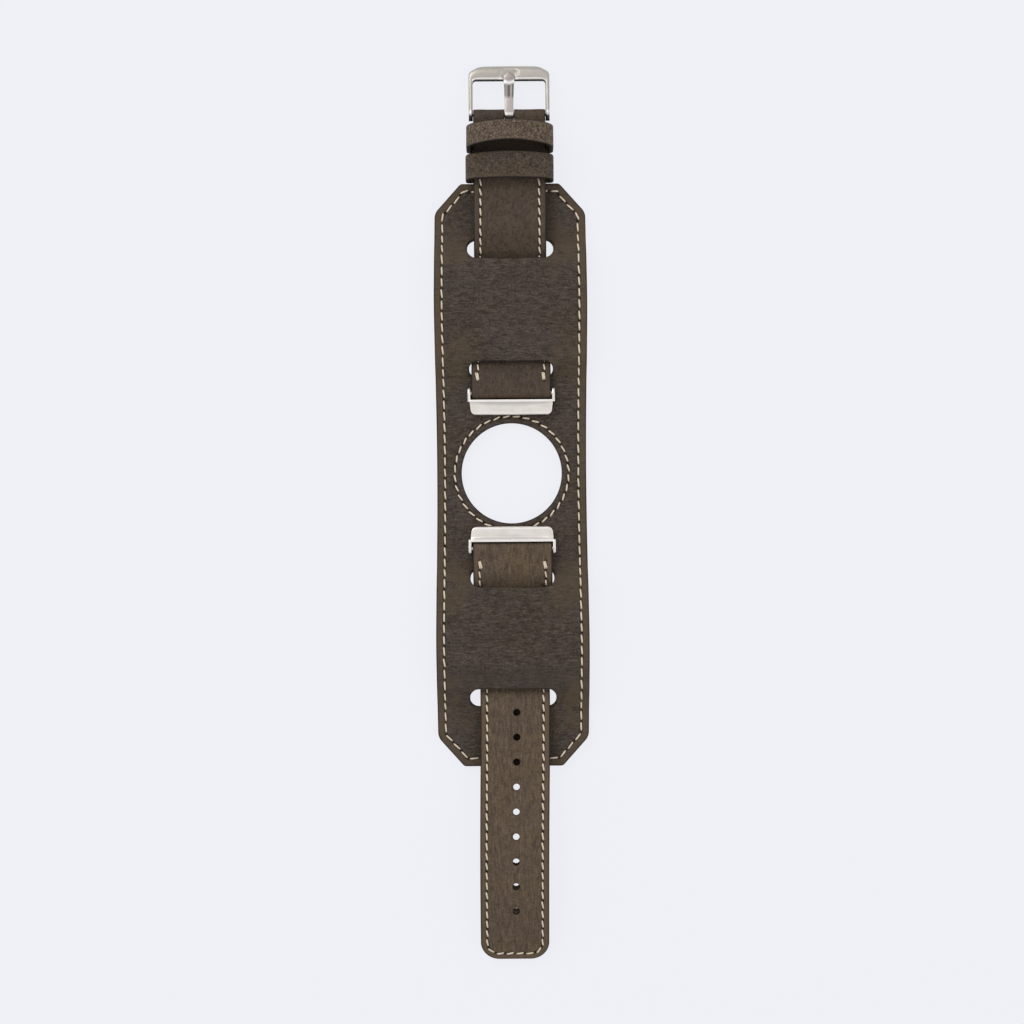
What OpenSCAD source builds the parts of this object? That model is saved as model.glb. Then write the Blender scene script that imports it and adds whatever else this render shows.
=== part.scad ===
// Bund watch strap. A wide two-layer leather pad lies under the watch and has a round window in its
// middle. Two strap halves are woven through four slots in the pad: over its end, down, under its
// middle, up again, and to a steel connector at the window. One half carries a pin buckle, a fixed
// keeper and a free keeper, the other half is the tail with its row of holes.
// The origin is the middle of the window on the plane that the pad rests on. +Y runs to the buckle,
// +X across the strap and +Z up through the window.

/* [Pad] */
// Length of the pad
pad_l = 170; // [160:1:190]
// Width of the pad at its widest, between the slots
pad_w = 44.8; // [42:0.2:50]
// Width of the pad at its waist, beside the window
waist_w = 43.2; // [41:0.2:48]
// Width of the pad where the end chamfers begin
shoulder_w = 44; // [41:0.2:49]
// Width of the straight edge at each end of the pad
end_w = 28.8; // [25:0.2:34]
// Length of the chamfer at each corner of the pad
chamfer_l = 8.5; // [5:0.5:12]
// Thickness of the pad's top leather
pad_top_t = 1; // [0.8:0.1:1.4]
// Thickness of the pad's lining
pad_lining_t = 1; // [0.8:0.1:1.4]
// Radius of the round window under the watch
window_r = 14.6; // [12:0.2:17]

/* [Slots] */
// Length of each slot across the pad
slot_w = 25.1; // [24.4:0.1:27]
// Opening of each slot along the leather
slot_l = 5.9; // [5.6:0.1:7]
// Radius of the corners of a slot
slot_corner_r = 2.4; // [1:0.1:2.7]
// Distance from the pad's end to the middle of the outer slot
slot_from_end = 19.6; // [16:0.2:24]
// Distance from the upper connector's pin to the middle of the inner slot
slot_from_pin = 7.2; // [6.8:0.2:10]
// Slope of the pad where a slot opens
pad_slope = 28; // [27:1:32]

/* [Straps] */
// Width of the buckle half where it lies over the pad
strap_w = 21.1; // [19:0.1:22]
// Width of the buckle half at the buckle
buckle_end_w = 20.6; // [18:0.1:21]
// Width of the tail
tail_w = 20.3; // [18:0.1:22]
// Width of both halves at their connectors
connector_end_w = 23.1; // [21:0.1:23.6]
// Thickness of the straps' top leather
strap_top_t = 1.2; // [1:0.1:1.3]
// Thickness of the straps' lining
strap_lining_t = 1.2; // [1:0.1:1.3]
// Slope of the strap where it passes a slot
strap_slope = 30; // [29:1:34]
// Gap between the strap and the pad where one lies over the other
weave_gap = 0.3; // [0.25:0.05:0.5]
// Height of the strap over the table where it runs under the pad
table_gap = 0.15; // [0.1:0.05:0.3]
// Length of the top leather's fold under the strap, at a pin or bar
fold_l = 6; // [5:0.5:9]

/* [Tail] */
// Distance from the middle of the outer slot to the tip of the tail
tail_reach = 76; // [70:1:90]
// Slope at which the tail rises from the pad's end
tail_rise = 5; // [4:0.5:6]
// Radius of the tail's curl down to the table
tail_curl_r = 76; // [60:1:80]
// Radius of the corners of the tip
tip_corner_r = 5.4; // [3:0.2:8]
// Number of holes in the tail
hole_count = 9; // [5:1:9]
// Distance from one hole to the next
hole_pitch = 7.19; // [6:0.01:7.3]
// Radius of a hole
hole_r = 0.97; // [0.9:0.01:1.3]
// Distance from the tip to the last hole
hole_from_tip = 14.2; // [12:0.2:18]

/* [Connectors] */
// Gap between the window and the upper connector
upper_connector_gap = 2.4; // [1:0.1:4]
// Gap between the window and the lower connector
lower_connector_gap = 0.9; // [0.6:0.1:2.4]
// Width of the rail that slides into the watch
rail_w = 24.2; // [22:0.1:25]
// Depth of a connector from its back to the front of its rail
rail_depth = 4.5; // [4:0.1:6]
// Thickness of an ear
ear_t = 1.05; // [0.9:0.05:1.3]
// Radius of the leather's loop, and of the ears round the pin
loop_r = 1.6; // [1.5:0.05:1.9]
// Radius of the pin
pin_r = 0.6; // [0.5:0.05:0.7]
// Radius of the pin's head
pin_head_r = 0.95; // [0.9:0.05:1.2]
// Travel of the sprung nub under the rail
nub_travel = 0.25; // [0.15:0.05:0.3]

/* [Buckle] */
// Distance from the middle of the outer slot to the buckle's spring bar
bar_reach = 39; // [36:0.5:50]
// Distance from the spring bar to the front of the buckle
buckle_l = 14.55; // [13:0.05:18]
// Depth of the buckle's front bar
front_bar_l = 4.25; // [3:0.05:5]
// Thickness of a leg of the buckle
leg_t = 1.2; // [1.1:0.05:1.6]
// Thickness of the front bar
front_bar_t = 2.5; // [2.3:0.1:3]
// Width of the tongue
tongue_w = 2.6; // [2:0.1:3]
// Thickness of the tongue
tongue_t = 1; // [0.8:0.05:1.1]
// Radius of the spring bar's barrel
barrel_r = 0.75; // [0.7:0.05:0.85]
// Radius of the spring bar's tips
tip_r = 0.4; // [0.35:0.05:0.45]
// Depth that a tip reaches into its leg
tip_reach = 0.7; // [0.5:0.05:0.8]

/* [Keepers] */
// Width of the fixed keeper's band
fixed_keeper_w = 8.45; // [7:0.05:9]
// Width of the free keeper's band
free_keeper_w = 7.85; // [6:0.05:9]
// Thickness of the keepers' leather round the strap's sides and top
keeper_t = 1.25; // [1:0.05:1.5]
// Thickness of the keepers under the strap
keeper_floor_t = 1; // [0.8:0.05:1.2]
// Free height over the strap inside a keeper
keeper_room = 2.65; // [2.5:0.05:3.2]
// Rise of a keeper's top from its corners to its middle
keeper_crown = 0.6; // [0.3:0.05:1]
// Gap between a keeper's inside and the strap's edge
keeper_side_gap = 1.3; // [0.8:0.05:1.8]
// Gap between the two keepers
keeper_gap = 0.95; // [0.5:0.05:2]
// Slope of the fixed keeper's top, up towards the pad
keeper_slope = 27; // [20:1:30]
// Slope of the strap from over the pad's end down to the buckle
line_slope = 5; // [4:0.5:6]

/* [Stitching] */
// Width of the thread
thread_w = 0.6; // [0.4:0.05:0.8]
// Depth of the groove that the thread lies in
groove_depth = 0.25; // [0.15:0.05:0.35]
// Height of the thread above the leather
thread_proud = 0.12; // [0.05:0.01:0.25]
// Distance from the pad's edge to its thread
pad_stitch_inset = 2.3; // [1.8:0.1:3]
// Distance from a strap's edge to its thread
strap_stitch_inset = 1.9; // [1.5:0.1:2.5]
// Distance from the window's edge to its thread
window_stitch_inset = 2; // [1.5:0.1:3]
// Length of one stitch and the gap after it, on the pad
pad_stitch_pitch = 3.3; // [2.8:0.1:4]
// Length of one stitch and the gap after it, on the straps
strap_stitch_pitch = 2.85; // [2.4:0.05:3.6]
// Length of one stitch and the gap after it, round the window
window_stitch_pitch = 2.9; // [2.4:0.05:3.6]

/* [Hidden] */
$fn = 48;
eps = 0.01;
// Extent of the sheets and blocks that the pieces are cut from and with
tall = pad_w + strap_w;
bend_steps = 6;
running_fit = 0.05;
tight_fit = 0.02;
play = 0.25;
side_play = 0.2;

// Stitching: the share of a pitch that a stitch takes, its slant, its groove, and the distance
// from a pin or bar to a row's first stitch
stitch_share = 0.76;
stitch_slant = 9;
groove_w = thread_w + 0.3;
groove_end = 0.6;
row_margin = 3.4;

// Thicknesses and the heights of each leather's middle plane
pad_t = pad_top_t + pad_lining_t;
strap_t = strap_top_t + strap_lining_t;
pad_plane = (pad_lining_t - pad_top_t) / 2;
strap_plane = (strap_lining_t - strap_top_t) / 2;
pad_low_z = pad_t / 2;
under_z = table_gap + strap_t / 2;
pad_high_z = under_z + strap_t / 2 + weave_gap + pad_t / 2;
slot_z = (pad_low_z + pad_high_z) / 2;
window_level_z = pad_t + weave_gap + loop_r;
tail_over_z = pad_t + weave_gap + strap_t / 2;

// Outlines from above: where the pad is widest, and the radii that its corners are rounded by
widest_share = 0.65;
end_bend_r = 1.4;
shoulder_bend_r = 4;
widest_bend_r = 400;
waist_bend_r = 1200;
taper_margin = 5;
taper_bend_r = 60;

// Places along Y, from the window outwards
rail_reach = loop_r + play + rail_depth;
upper_pin_y = window_r + upper_connector_gap + rail_reach;
lower_pin_y = window_r + lower_connector_gap + rail_reach;
pad_end_y = pad_l / 2;
inner_slot_y = upper_pin_y + slot_from_pin;
outer_slot_y = pad_end_y - slot_from_end;
slope_run = (pad_high_z - pad_low_z) / 2 / tan(pad_slope);
pad_bend_r = 4;
strap_bend_r = 4;
over_bend_r = 6;
tail_curl_share = 0.255;

// The buckle half runs straight from over the pad's end down to the spring bar
bar_y = outer_slot_y + bar_reach;
line_end_z = pad_t + 2 * play + keeper_floor_t + strap_t / 2 / cos(line_slope);
bar_z = line_end_z - (bar_y - pad_end_y) * tan(line_slope);
crest_y = (line_end_z + pad_end_y * tan(line_slope) - slot_z + outer_slot_y * tan(strap_slope))
    / (tan(strap_slope) + tan(line_slope));
crest_z = slot_z + (crest_y - outer_slot_y) * tan(strap_slope);

// The tail rises, curls over and comes down to the table at its tip
tip_y = outer_slot_y + tail_reach;
curl_y = tip_y - tail_curl_share * tail_curl_r;
tip_z = table_gap + strap_t / 2;

// Buckle and spring bar, measured from the bar's middle
bar_loop_r = 1.75;
buckle_in_w = buckle_end_w + 3 * side_play;
buckle_w = buckle_in_w + 2 * leg_t;
leg_end_r = 1.7;
front_bar_y = buckle_l - front_bar_l;
tongue_head_l = 2.2;
tongue_eye_t = 0.65;
tongue_end_y = front_bar_y + tongue_head_l;
tongue_eye_r = barrel_r + running_fit + tongue_eye_t;
tongue_seat_z = 0.8;
notch_side_gap = 0.4;
notch_end_gap = 0.9;
notch_w = tongue_w + 2 * notch_side_gap;
notch_l = tongue_eye_r + notch_end_gap;
tip_hole_depth = tip_reach + 0.1;
tip_travel = tip_reach + 0.05;
collar_t = 0.25;
collar_r = 0.6;
collar_x = buckle_in_w / 2 - 0.2 - collar_t;
barrel_end_x = collar_x - tip_travel - 0.05;
crimp_l = 0.4;
neck_r = tip_r - 0.05;
plunger_r = barrel_r - 0.25;
plunger_l = 0.75;
plunger_x = barrel_end_x - crimp_l - 0.05 - plunger_l;

// Keepers, measured from the spring bar's middle along the strap
keeper_in_w = buckle_end_w + 2 * keeper_side_gap - side_play / 2;
keeper_out_w = keeper_in_w + 2 * keeper_t;
keeper_top_z = strap_t / 2 + keeper_room;
fixed_keeper_y = 2.3;
free_keeper_y = fixed_keeper_y + fixed_keeper_w + keeper_gap;
keeper_corner_r = 3.2;
keeper_sole_r = 1.4;
keeper_inner_sole_r = 0.4;
keeper_floor_z = -strap_t / 2 - keeper_floor_t;
fixed_top_y = 1.6;
pad_edge_lean = 20;
buckle_edge_lean = 10;

// Connectors, measured from the pin's middle, with the rail towards -Y
ear_in_w = connector_end_w + 2 * side_play;
ear_out_w = ear_in_w + 2 * ear_t;
back_y = loop_r + play;
rail_top_z = 1.05;
rail_bottom_z = -loop_r + 0.15;
nub_y = back_y + rail_depth * 0.68;
nub_r = 0.57;
nub_flange_r = 0.85;
nub_flange_t = 0.4;
nub_rim_t = 0.5;
nub_cavity_h = rail_top_z - rail_bottom_z - nub_rim_t - 0.5;
pin_head_t = 0.45;
pin_slot_w = 0.3;
pin_slot_d = 0.2;

// Plane geometry: lines are lists of points, and a bend replaces a corner [a, b, radius] by an arc
function flatten(lists) = [for (list = lists) for (item = list) item];
function backwards(list) = [for (i = [len(list) - 1:-1:0]) list[i]];
function unit(v) = v / norm(v);
function plain(p) = [p[0], p[1]];
function left_of(v) = [-v[1], v[0]];
function turned(v, angle) =
    [v[0] * cos(angle) - v[1] * sin(angle), v[0] * sin(angle) + v[1] * cos(angle)];
function bend(a, b, c) =
    let (back = unit(plain(a) - plain(b)))
    let (ahead = unit(plain(c) - plain(b)))
    let (corner = acos(back * ahead))
    let (centre = plain(b) + unit(back + ahead) * b[2] / sin(corner / 2))
    let (start = plain(b) + back * b[2] / tan(corner / 2) - centre)
    let (sweep = (cross(back, ahead) > 0 ? -1 : 1) * (180 - corner))
    [for (i = [0:bend_steps]) centre + turned(start, sweep * i / bend_steps)];

// An open line through corners, and a closed one
function open_line(corners) = concat(
    [plain(corners[0])],
    flatten([for (i = [1:len(corners) - 2]) bend(corners[i - 1], corners[i], corners[i + 1])]),
    [plain(corners[len(corners) - 1])]);
function closed_line(corners) =
    let (n = len(corners))
    flatten([for (i = [0:n - 1]) bend(corners[(i + n - 1) % n], corners[i], corners[(i + 1) % n])]);

// The shift that moves a corner between two runs by d to the left of both
function corner_shift(run_in, run_out, d) =
    unit(left_of(run_in) + left_of(run_out)) * d / sqrt((1 + run_in * run_out) / 2);
function shifted_line(line, d) =
    let (last = len(line) - 1)
    let (runs = [for (i = [0:last - 1]) unit(line[i + 1] - line[i])])
    [for (i = [0:last])
        line[i] + corner_shift(runs[max(i - 1, 0)], runs[min(i, last - 1)], d)];
// Corners of a closed outline, anticlockwise, moved inwards by d
function inset(corners, d) =
    let (n = len(corners))
    [for (i = [0:n - 1])
        let (run_in = unit(plain(corners[i]) - plain(corners[(i + n - 1) % n])))
        let (run_out = unit(plain(corners[(i + 1) % n]) - plain(corners[i])))
        let (p = plain(corners[i]) + corner_shift(run_in, run_out, d))
        [p[0], p[1], max(corners[i][2] - d, 0.6)]];

// Lengths along a line to each of its points, and the place and direction at a length
function lengths(line) =
    [for (i = 0, s = 0; i < len(line);
        s = s + (i < len(line) - 1 ? norm(line[i + 1] - line[i]) : 0), i = i + 1) s];
function place(line, sums, s) =
    let (i = max([0, for (k = [0:len(sums) - 2]) if (sums[k] <= s) k]))
    let (run = unit(line[i + 1] - line[i]))
    [line[i] + run * (s - sums[i]), run];
// Height and slope of a side line at y
function height_at(line, y) =
    let (i = max([0, for (k = [0:len(line) - 2]) if (line[k][0] <= y) k]))
    let (run = unit(line[i + 1] - line[i]))
    [line[i][1] + (y - line[i][0]) * run[1] / run[0], atan2(run[1], run[0])];

// Side lines, as [y, z] points
half_pad = [
    [inner_slot_y - slope_run, pad_low_z, pad_bend_r],
    [inner_slot_y + slope_run, pad_high_z, pad_bend_r],
    [outer_slot_y - slope_run, pad_high_z, pad_bend_r],
    [outer_slot_y + slope_run, pad_low_z, pad_bend_r],
    [pad_end_y, pad_low_z, 0]];
pad_line = open_line(concat([for (p = backwards(half_pad)) [-p[0], p[1], p[2]]], half_pad));

// Where the strap's slope through a slot reaches height z
function slope_y(slot_y, z, way) = slot_y + way * (z - slot_z) / tan(strap_slope);
function weave(pin_y) = [
    [pin_y, window_level_z],
    [slope_y(inner_slot_y, window_level_z, -1), window_level_z, strap_bend_r],
    [slope_y(inner_slot_y, under_z, -1), under_z, strap_bend_r],
    [slope_y(outer_slot_y, under_z, 1), under_z, strap_bend_r]];
buckle_line = open_line(concat(weave(upper_pin_y),
    [[crest_y, crest_z, over_bend_r], [bar_y, bar_z]]));
tail_rise_y = slope_y(outer_slot_y, tail_over_z, 1);
curl_z = tail_over_z + (curl_y - tail_rise_y) * tan(tail_rise);
tail_line = open_line(concat(weave(lower_pin_y),
    [[tail_rise_y, tail_over_z, over_bend_r], [curl_y, curl_z, tail_curl_r], [tip_y, tip_z]]));

// Outlines from above, as [x, y, corner radius]
function both_sides(right) = concat(right, [for (p = backwards(right)) [-p[0], p[1], p[2]]]);
shoulder_y = pad_end_y - chamfer_l;
widest_y = shoulder_y * widest_share;
pad_corners = both_sides([
    [end_w / 2, -pad_end_y, end_bend_r],
    [shoulder_w / 2, -shoulder_y, shoulder_bend_r],
    [pad_w / 2, -widest_y, widest_bend_r],
    [waist_w / 2, 0, waist_bend_r],
    [pad_w / 2, widest_y, widest_bend_r],
    [shoulder_w / 2, shoulder_y, shoulder_bend_r],
    [end_w / 2, pad_end_y, end_bend_r]]);
taper_start_y = inner_slot_y + taper_margin;
taper_end_y = outer_slot_y - taper_margin;
// Right edge of a strap half, moved in by d: w is its width past the taper and end_w its end's
function strap_edge(y0, w, end_w, y1, end_r, d = 0) = [
    [connector_end_w / 2 - d, y0, eps],
    [connector_end_w / 2 - d, taper_start_y, taper_bend_r],
    [w / 2 - d, taper_end_y, taper_bend_r],
    [end_w / 2 - d, y1 - d, end_r - d]];
buckle_corners = both_sides(strap_edge(upper_pin_y - 2 * loop_r, strap_w, buckle_end_w,
    bar_y + 2 * bar_loop_r, 0.1));
tail_corners = both_sides(strap_edge(lower_pin_y - 2 * loop_r, tail_w, tail_w, tip_y, tip_corner_r));

// Stitch lines from above: two rows on the buckle half, one line round the tail
upper_row_y = upper_pin_y + row_margin;
lower_row_y = lower_pin_y + row_margin;
buckle_row_end_y = bar_y - row_margin;
buckle_row = open_line(strap_edge(upper_row_y, strap_w, buckle_end_w,
    buckle_row_end_y + strap_stitch_inset, 0, strap_stitch_inset));
tail_row = open_line(both_sides(strap_edge(lower_row_y, tail_w, tail_w, tip_y, tip_corner_r,
    strap_stitch_inset)));

// Solids from lines and outlines
module across(width) {
    rotate([90, 0, 90]) linear_extrude(width, center = true) children();
}
module plan() {
    translate([0, 0, -tall / 2]) linear_extrude(tall) children();
}
module sheet(line, low, high) {
    across(tall) polygon(concat(shifted_line(line, low), backwards(shifted_line(line, high))));
}
module rod(r, x0, x1) {
    translate([x0, 0, 0]) rotate([0, 90, 0]) cylinder(r = r, h = x1 - x0);
}
module block(low, high) {
    translate(low) cube(high - low);
}
module between(y0, y1) {
    block([-tall / 2, y0, -tall / 2], [tall / 2, y1, tall / 2]);
}
// The strap's straight stretch, with the spring bar's middle as origin and the buckle towards +Y
module on_bar() {
    translate([0, bar_y, bar_z]) rotate([-line_slope, 0, 0]) children();
}
// A connector's place, with its pin's middle as origin and the rail towards -Y
module on_upper_pin() {
    translate([0, upper_pin_y, window_level_z]) children();
}
module tail_side() {
    rotate([0, 0, 180]) children();
}
module on_lower_pin() {
    tail_side() translate([0, lower_pin_y, window_level_z]) children();
}

// Stitches from above along a line, each turned a little against it
module stitches(line, pitch, slant = 0) {
    sums = lengths(line);
    total = sums[len(sums) - 1];
    count = round(total / pitch);
    for (k = [0:count - 1]) {
        at = place(line, sums, (k + 0.5) * total / count);
        translate(at[0]) rotate(atan2(at[1][1], at[1][0]) + slant)
            square([total / count * stitch_share, thread_w], center = true);
    }
}
// The groove from above, between two copies of an outline on both sides of the stitch line
module groove(corners, at) {
    difference() {
        polygon(closed_line(inset(corners, at - groove_w / 2)));
        polygon(closed_line(inset(corners, at + groove_w / 2)));
    }
}
// The layer of air above a sheet that a groove takes away, and the layer that its thread fills
module groove_layer(line, t) {
    sheet(line, t / 2 - groove_depth, t / 2 + 1);
}
module thread_layer(line, t) {
    sheet(line, t / 2 - groove_depth, t / 2 + thread_proud);
}

// Pad
module slot_shape() {
    square([slot_w - 2 * slot_corner_r, slot_l], center = true);
    square([slot_w, slot_l - 2 * slot_corner_r], center = true);
    for (x = [-1, 1]) for (y = [-1, 1])
        translate([x * (slot_w / 2 - slot_corner_r), y * (slot_l / 2 - slot_corner_r)])
            circle(slot_corner_r);
}
module slots() {
    for (side = [0, 180]) rotate([0, 0, side]) {
        translate([0, inner_slot_y, slot_z]) rotate([pad_slope, 0, 0])
            linear_extrude(4 * pad_t, center = true) slot_shape();
        translate([0, outer_slot_y, slot_z]) rotate([-pad_slope, 0, 0])
            linear_extrude(4 * pad_t, center = true) slot_shape();
    }
}
module pad_leather(low, high) {
    difference() {
        intersection() {
            sheet(pad_line, low, high);
            plan() polygon(closed_line(pad_corners));
        }
        slots();
        translate([0, 0, -pad_t]) cylinder(r = window_r, h = 3 * pad_t, $fn = 96);
    }
}
// A flat ring round the window, at the window's stitch line
module window_ring(w, h) {
    r = window_r + window_stitch_inset;
    difference() {
        cylinder(r = r + w / 2, h = h, $fn = 96);
        translate([0, 0, -eps]) cylinder(r = r - w / 2, h = h + 2 * eps, $fn = 96);
    }
}
module pad_top_leather() {
    color("#4a423c") difference() {
        pad_leather(pad_plane, pad_t / 2);
        intersection() {
            groove_layer(pad_line, pad_t);
            plan() groove(pad_corners, pad_stitch_inset);
        }
        translate([0, 0, pad_t - groove_depth]) window_ring(groove_w, 1);
    }
}
module pad_lining_leather() {
    color("#5d5047") pad_leather(-pad_t / 2, pad_plane);
}
module pad_edge_thread() {
    outline = closed_line(inset(pad_corners, pad_stitch_inset));
    color("#c9b795") intersection() {
        thread_layer(pad_line, pad_t);
        plan() intersection() {
            stitches(concat(outline, [outline[0]]), pad_stitch_pitch);
            groove(pad_corners, pad_stitch_inset);
        }
    }
}
module window_thread() {
    r = window_r + window_stitch_inset;
    count = round(2 * PI * r / window_stitch_pitch);
    stitch = window_stitch_pitch * stitch_share;
    h = groove_depth + thread_proud;
    color("#c9b795") translate([0, 0, pad_t - groove_depth]) intersection() {
        window_ring(thread_w, h);
        for (k = [0:count - 1]) rotate([0, 0, (k + 0.5) * 360 / count])
            block([r - 1, -stitch / 2, 0], [r + 1, stitch / 2, h]);
    }
}

// Straps
module strap_leather(line, corners, low, high) {
    intersection() {
        sheet(line, low, high);
        plan() polygon(closed_line(corners));
    }
}
module buckle_strap_top() {
    color("#4c4038") difference() {
        union() {
            strap_leather(buckle_line, buckle_corners, strap_plane, strap_t / 2);
            intersection() {
                strap_leather(buckle_line, buckle_corners, -strap_t / 2, strap_plane);
                union() {
                    between(0, upper_pin_y + fold_l);
                    between(bar_y - fold_l, bar_y + 2 * bar_loop_r);
                }
            }
            on_upper_pin() rod(loop_r, -connector_end_w / 2, connector_end_w / 2);
            on_bar() rod(bar_loop_r, -buckle_end_w / 2, buckle_end_w / 2);
        }
        on_upper_pin() rod(pin_r + running_fit, -strap_w, strap_w);
        on_bar() rod(barrel_r + tight_fit, -strap_w, strap_w);
        on_bar() block([-notch_w / 2, -notch_l, -strap_t], [notch_w / 2, notch_l, strap_t]);
        intersection() {
            groove_layer(buckle_line, strap_t);
            plan() groove(buckle_corners, strap_stitch_inset);
            between(upper_row_y - groove_end, buckle_row_end_y + groove_end);
        }
    }
}
module buckle_strap_lining() {
    color("#5d5047") intersection() {
        strap_leather(buckle_line, buckle_corners, -strap_t / 2, strap_plane);
        between(upper_pin_y + fold_l, bar_y - fold_l);
    }
}
module buckle_strap_thread() {
    color("#c9b795") intersection() {
        thread_layer(buckle_line, strap_t);
        plan() intersection() {
            union() {
                stitches(buckle_row, strap_stitch_pitch, stitch_slant);
                mirror([1, 0]) stitches(buckle_row, strap_stitch_pitch, -stitch_slant);
            }
            groove(buckle_corners, strap_stitch_inset);
        }
    }
}
module holes() {
    for (k = [0:hole_count - 1]) {
        y = tip_y - hole_from_tip - k * hole_pitch;
        at = height_at(tail_line, y);
        translate([0, y, at[0]]) rotate([at[1], 0, 0])
            cylinder(r = hole_r, h = 3 * strap_t, center = true, $fn = 32);
    }
}
module tail_strap_top() {
    color("#55493f") tail_side() difference() {
        union() {
            strap_leather(tail_line, tail_corners, strap_plane, strap_t / 2);
            intersection() {
                strap_leather(tail_line, tail_corners, -strap_t / 2, strap_plane);
                between(0, lower_pin_y + fold_l);
            }
            translate([0, lower_pin_y, window_level_z])
                rod(loop_r, -connector_end_w / 2, connector_end_w / 2);
        }
        translate([0, lower_pin_y, window_level_z]) rod(pin_r + running_fit, -strap_w, strap_w);
        holes();
        intersection() {
            groove_layer(tail_line, strap_t);
            plan() groove(tail_corners, strap_stitch_inset);
            between(lower_row_y - groove_end, tip_y);
        }
    }
}
module tail_strap_lining() {
    color("#5d5047") tail_side() difference() {
        strap_leather(tail_line, tail_corners, -strap_t / 2, strap_plane);
        between(0, lower_pin_y + fold_l);
        holes();
    }
}
module tail_strap_thread() {
    color("#c9b795") tail_side() intersection() {
        thread_layer(tail_line, strap_t);
        plan() intersection() {
            stitches(tail_row, strap_stitch_pitch);
            groove(tail_corners, strap_stitch_inset);
        }
    }
}

// Keepers, as loops across the strap between two levels
function loop_corners(w, floor_z, side_z, crown, sole_r, corner_r) = [
    [-w / 2, floor_z, sole_r],
    [w / 2, floor_z, sole_r],
    [w / 2, side_z, corner_r],
    [0, side_z + crown, w],
    [-w / 2, side_z, corner_r]];
// A closed outline in (x, z), carried along y from y0 to y1
module along(y0, y1) {
    translate([0, y1, 0]) rotate([90, 0, 0]) linear_extrude(y1 - y0) children();
}
module free_keeper() {
    color("#4d423c") on_bar() difference() {
        along(-free_keeper_y - free_keeper_w, -free_keeper_y)
            polygon(closed_line(loop_corners(keeper_out_w, keeper_floor_z - play,
                keeper_top_z + keeper_t, keeper_crown, keeper_sole_r, keeper_corner_r)));
        along(-free_keeper_y - free_keeper_w - eps, -free_keeper_y + eps)
            polygon(closed_line(loop_corners(keeper_in_w, keeper_floor_z - play + keeper_floor_t,
                keeper_top_z, keeper_crown, keeper_inner_sole_r, keeper_corner_r - keeper_t)));
    }
}
// The fixed keeper's top slopes up towards the pad, from its edge at the buckle
module sloping_loop(w, floor_z, top_z, sole_r, corner_r) {
    reach = 3 * fixed_keeper_w;
    intersection() {
        along(-reach, reach) polygon(closed_line(loop_corners(w, floor_z, 2 * reach, 1,
            sole_r, corner_r)));
        translate([0, -fixed_top_y, top_z]) rotate([-keeper_slope, 0, 0])
            along(-reach, reach) polygon(closed_line(loop_corners(w, -reach, -keeper_crown,
                keeper_crown, 1, corner_r)));
    }
}
module fixed_keeper() {
    top_z = keeper_top_z + keeper_t;
    over = 3 * top_z;
    color("#615549") on_bar() intersection() {
        difference() {
            sloping_loop(keeper_out_w, keeper_floor_z, top_z, keeper_sole_r, keeper_corner_r);
            sloping_loop(keeper_in_w, -strap_t / 2, top_z - keeper_t / cos(keeper_slope),
                keeper_inner_sole_r, keeper_corner_r - keeper_t);
        }
        across(tall) polygon([
            [-fixed_keeper_y - fixed_keeper_w, -over],
            [-fixed_keeper_y, -over],
            [-fixed_keeper_y, 0],
            [-fixed_keeper_y + over * tan(buckle_edge_lean), over],
            [-fixed_keeper_y - fixed_keeper_w + over * tan(pad_edge_lean), over],
            [-fixed_keeper_y - fixed_keeper_w, 0]]);
    }
}

// Buckle
module buckle_frame() {
    outer = both_sides([
        [buckle_w / 2, -leg_end_r - 1, eps],
        [buckle_w / 2, buckle_l - 2.25, 1.3],
        [buckle_w / 2 - 3.5, buckle_l, 5.5]]);
    window = both_sides([
        [buckle_in_w / 2, -leg_end_r - 2, eps],
        [buckle_in_w / 2, front_bar_y, 0.9]]);
    // From the side: round legs' ends, and a front bar with a domed top
    side = [
        [-leg_end_r, -leg_end_r, leg_end_r - 0.1],
        [1.5, -leg_end_r, 3],
        [front_bar_y - 2, -front_bar_t / 2, 3],
        [buckle_l - 0.5, -front_bar_t / 2, 0.4],
        [buckle_l, -front_bar_t / 4, 0.4],
        [buckle_l - 0.3, front_bar_t / 4, 0.7],
        [front_bar_y + 1.6, front_bar_t / 2 + 0.1, 3],
        [front_bar_y - 1, front_bar_t / 2 - 0.2, 2],
        [1.5, leg_end_r, 3],
        [-leg_end_r, leg_end_r, leg_end_r - 0.1]];
    color("#b5b1a9") on_bar() difference() {
        intersection() {
            across(tall) polygon(closed_line(side));
            plan() difference() {
                polygon(closed_line(outer));
                polygon(closed_line(window));
            }
        }
        // blind holes for the spring bar's tips
        rod(tip_r + running_fit, -buckle_in_w / 2 - tip_hole_depth, -buckle_in_w / 2 + eps);
        rod(tip_r + running_fit, buckle_in_w / 2 - eps, buckle_in_w / 2 + tip_hole_depth);
        // seat of the tongue
        block([-notch_w / 2, front_bar_y - 1, tongue_seat_z],
            [notch_w / 2, tongue_end_y + 0.4, 2 * front_bar_t]);
    }
}
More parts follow.
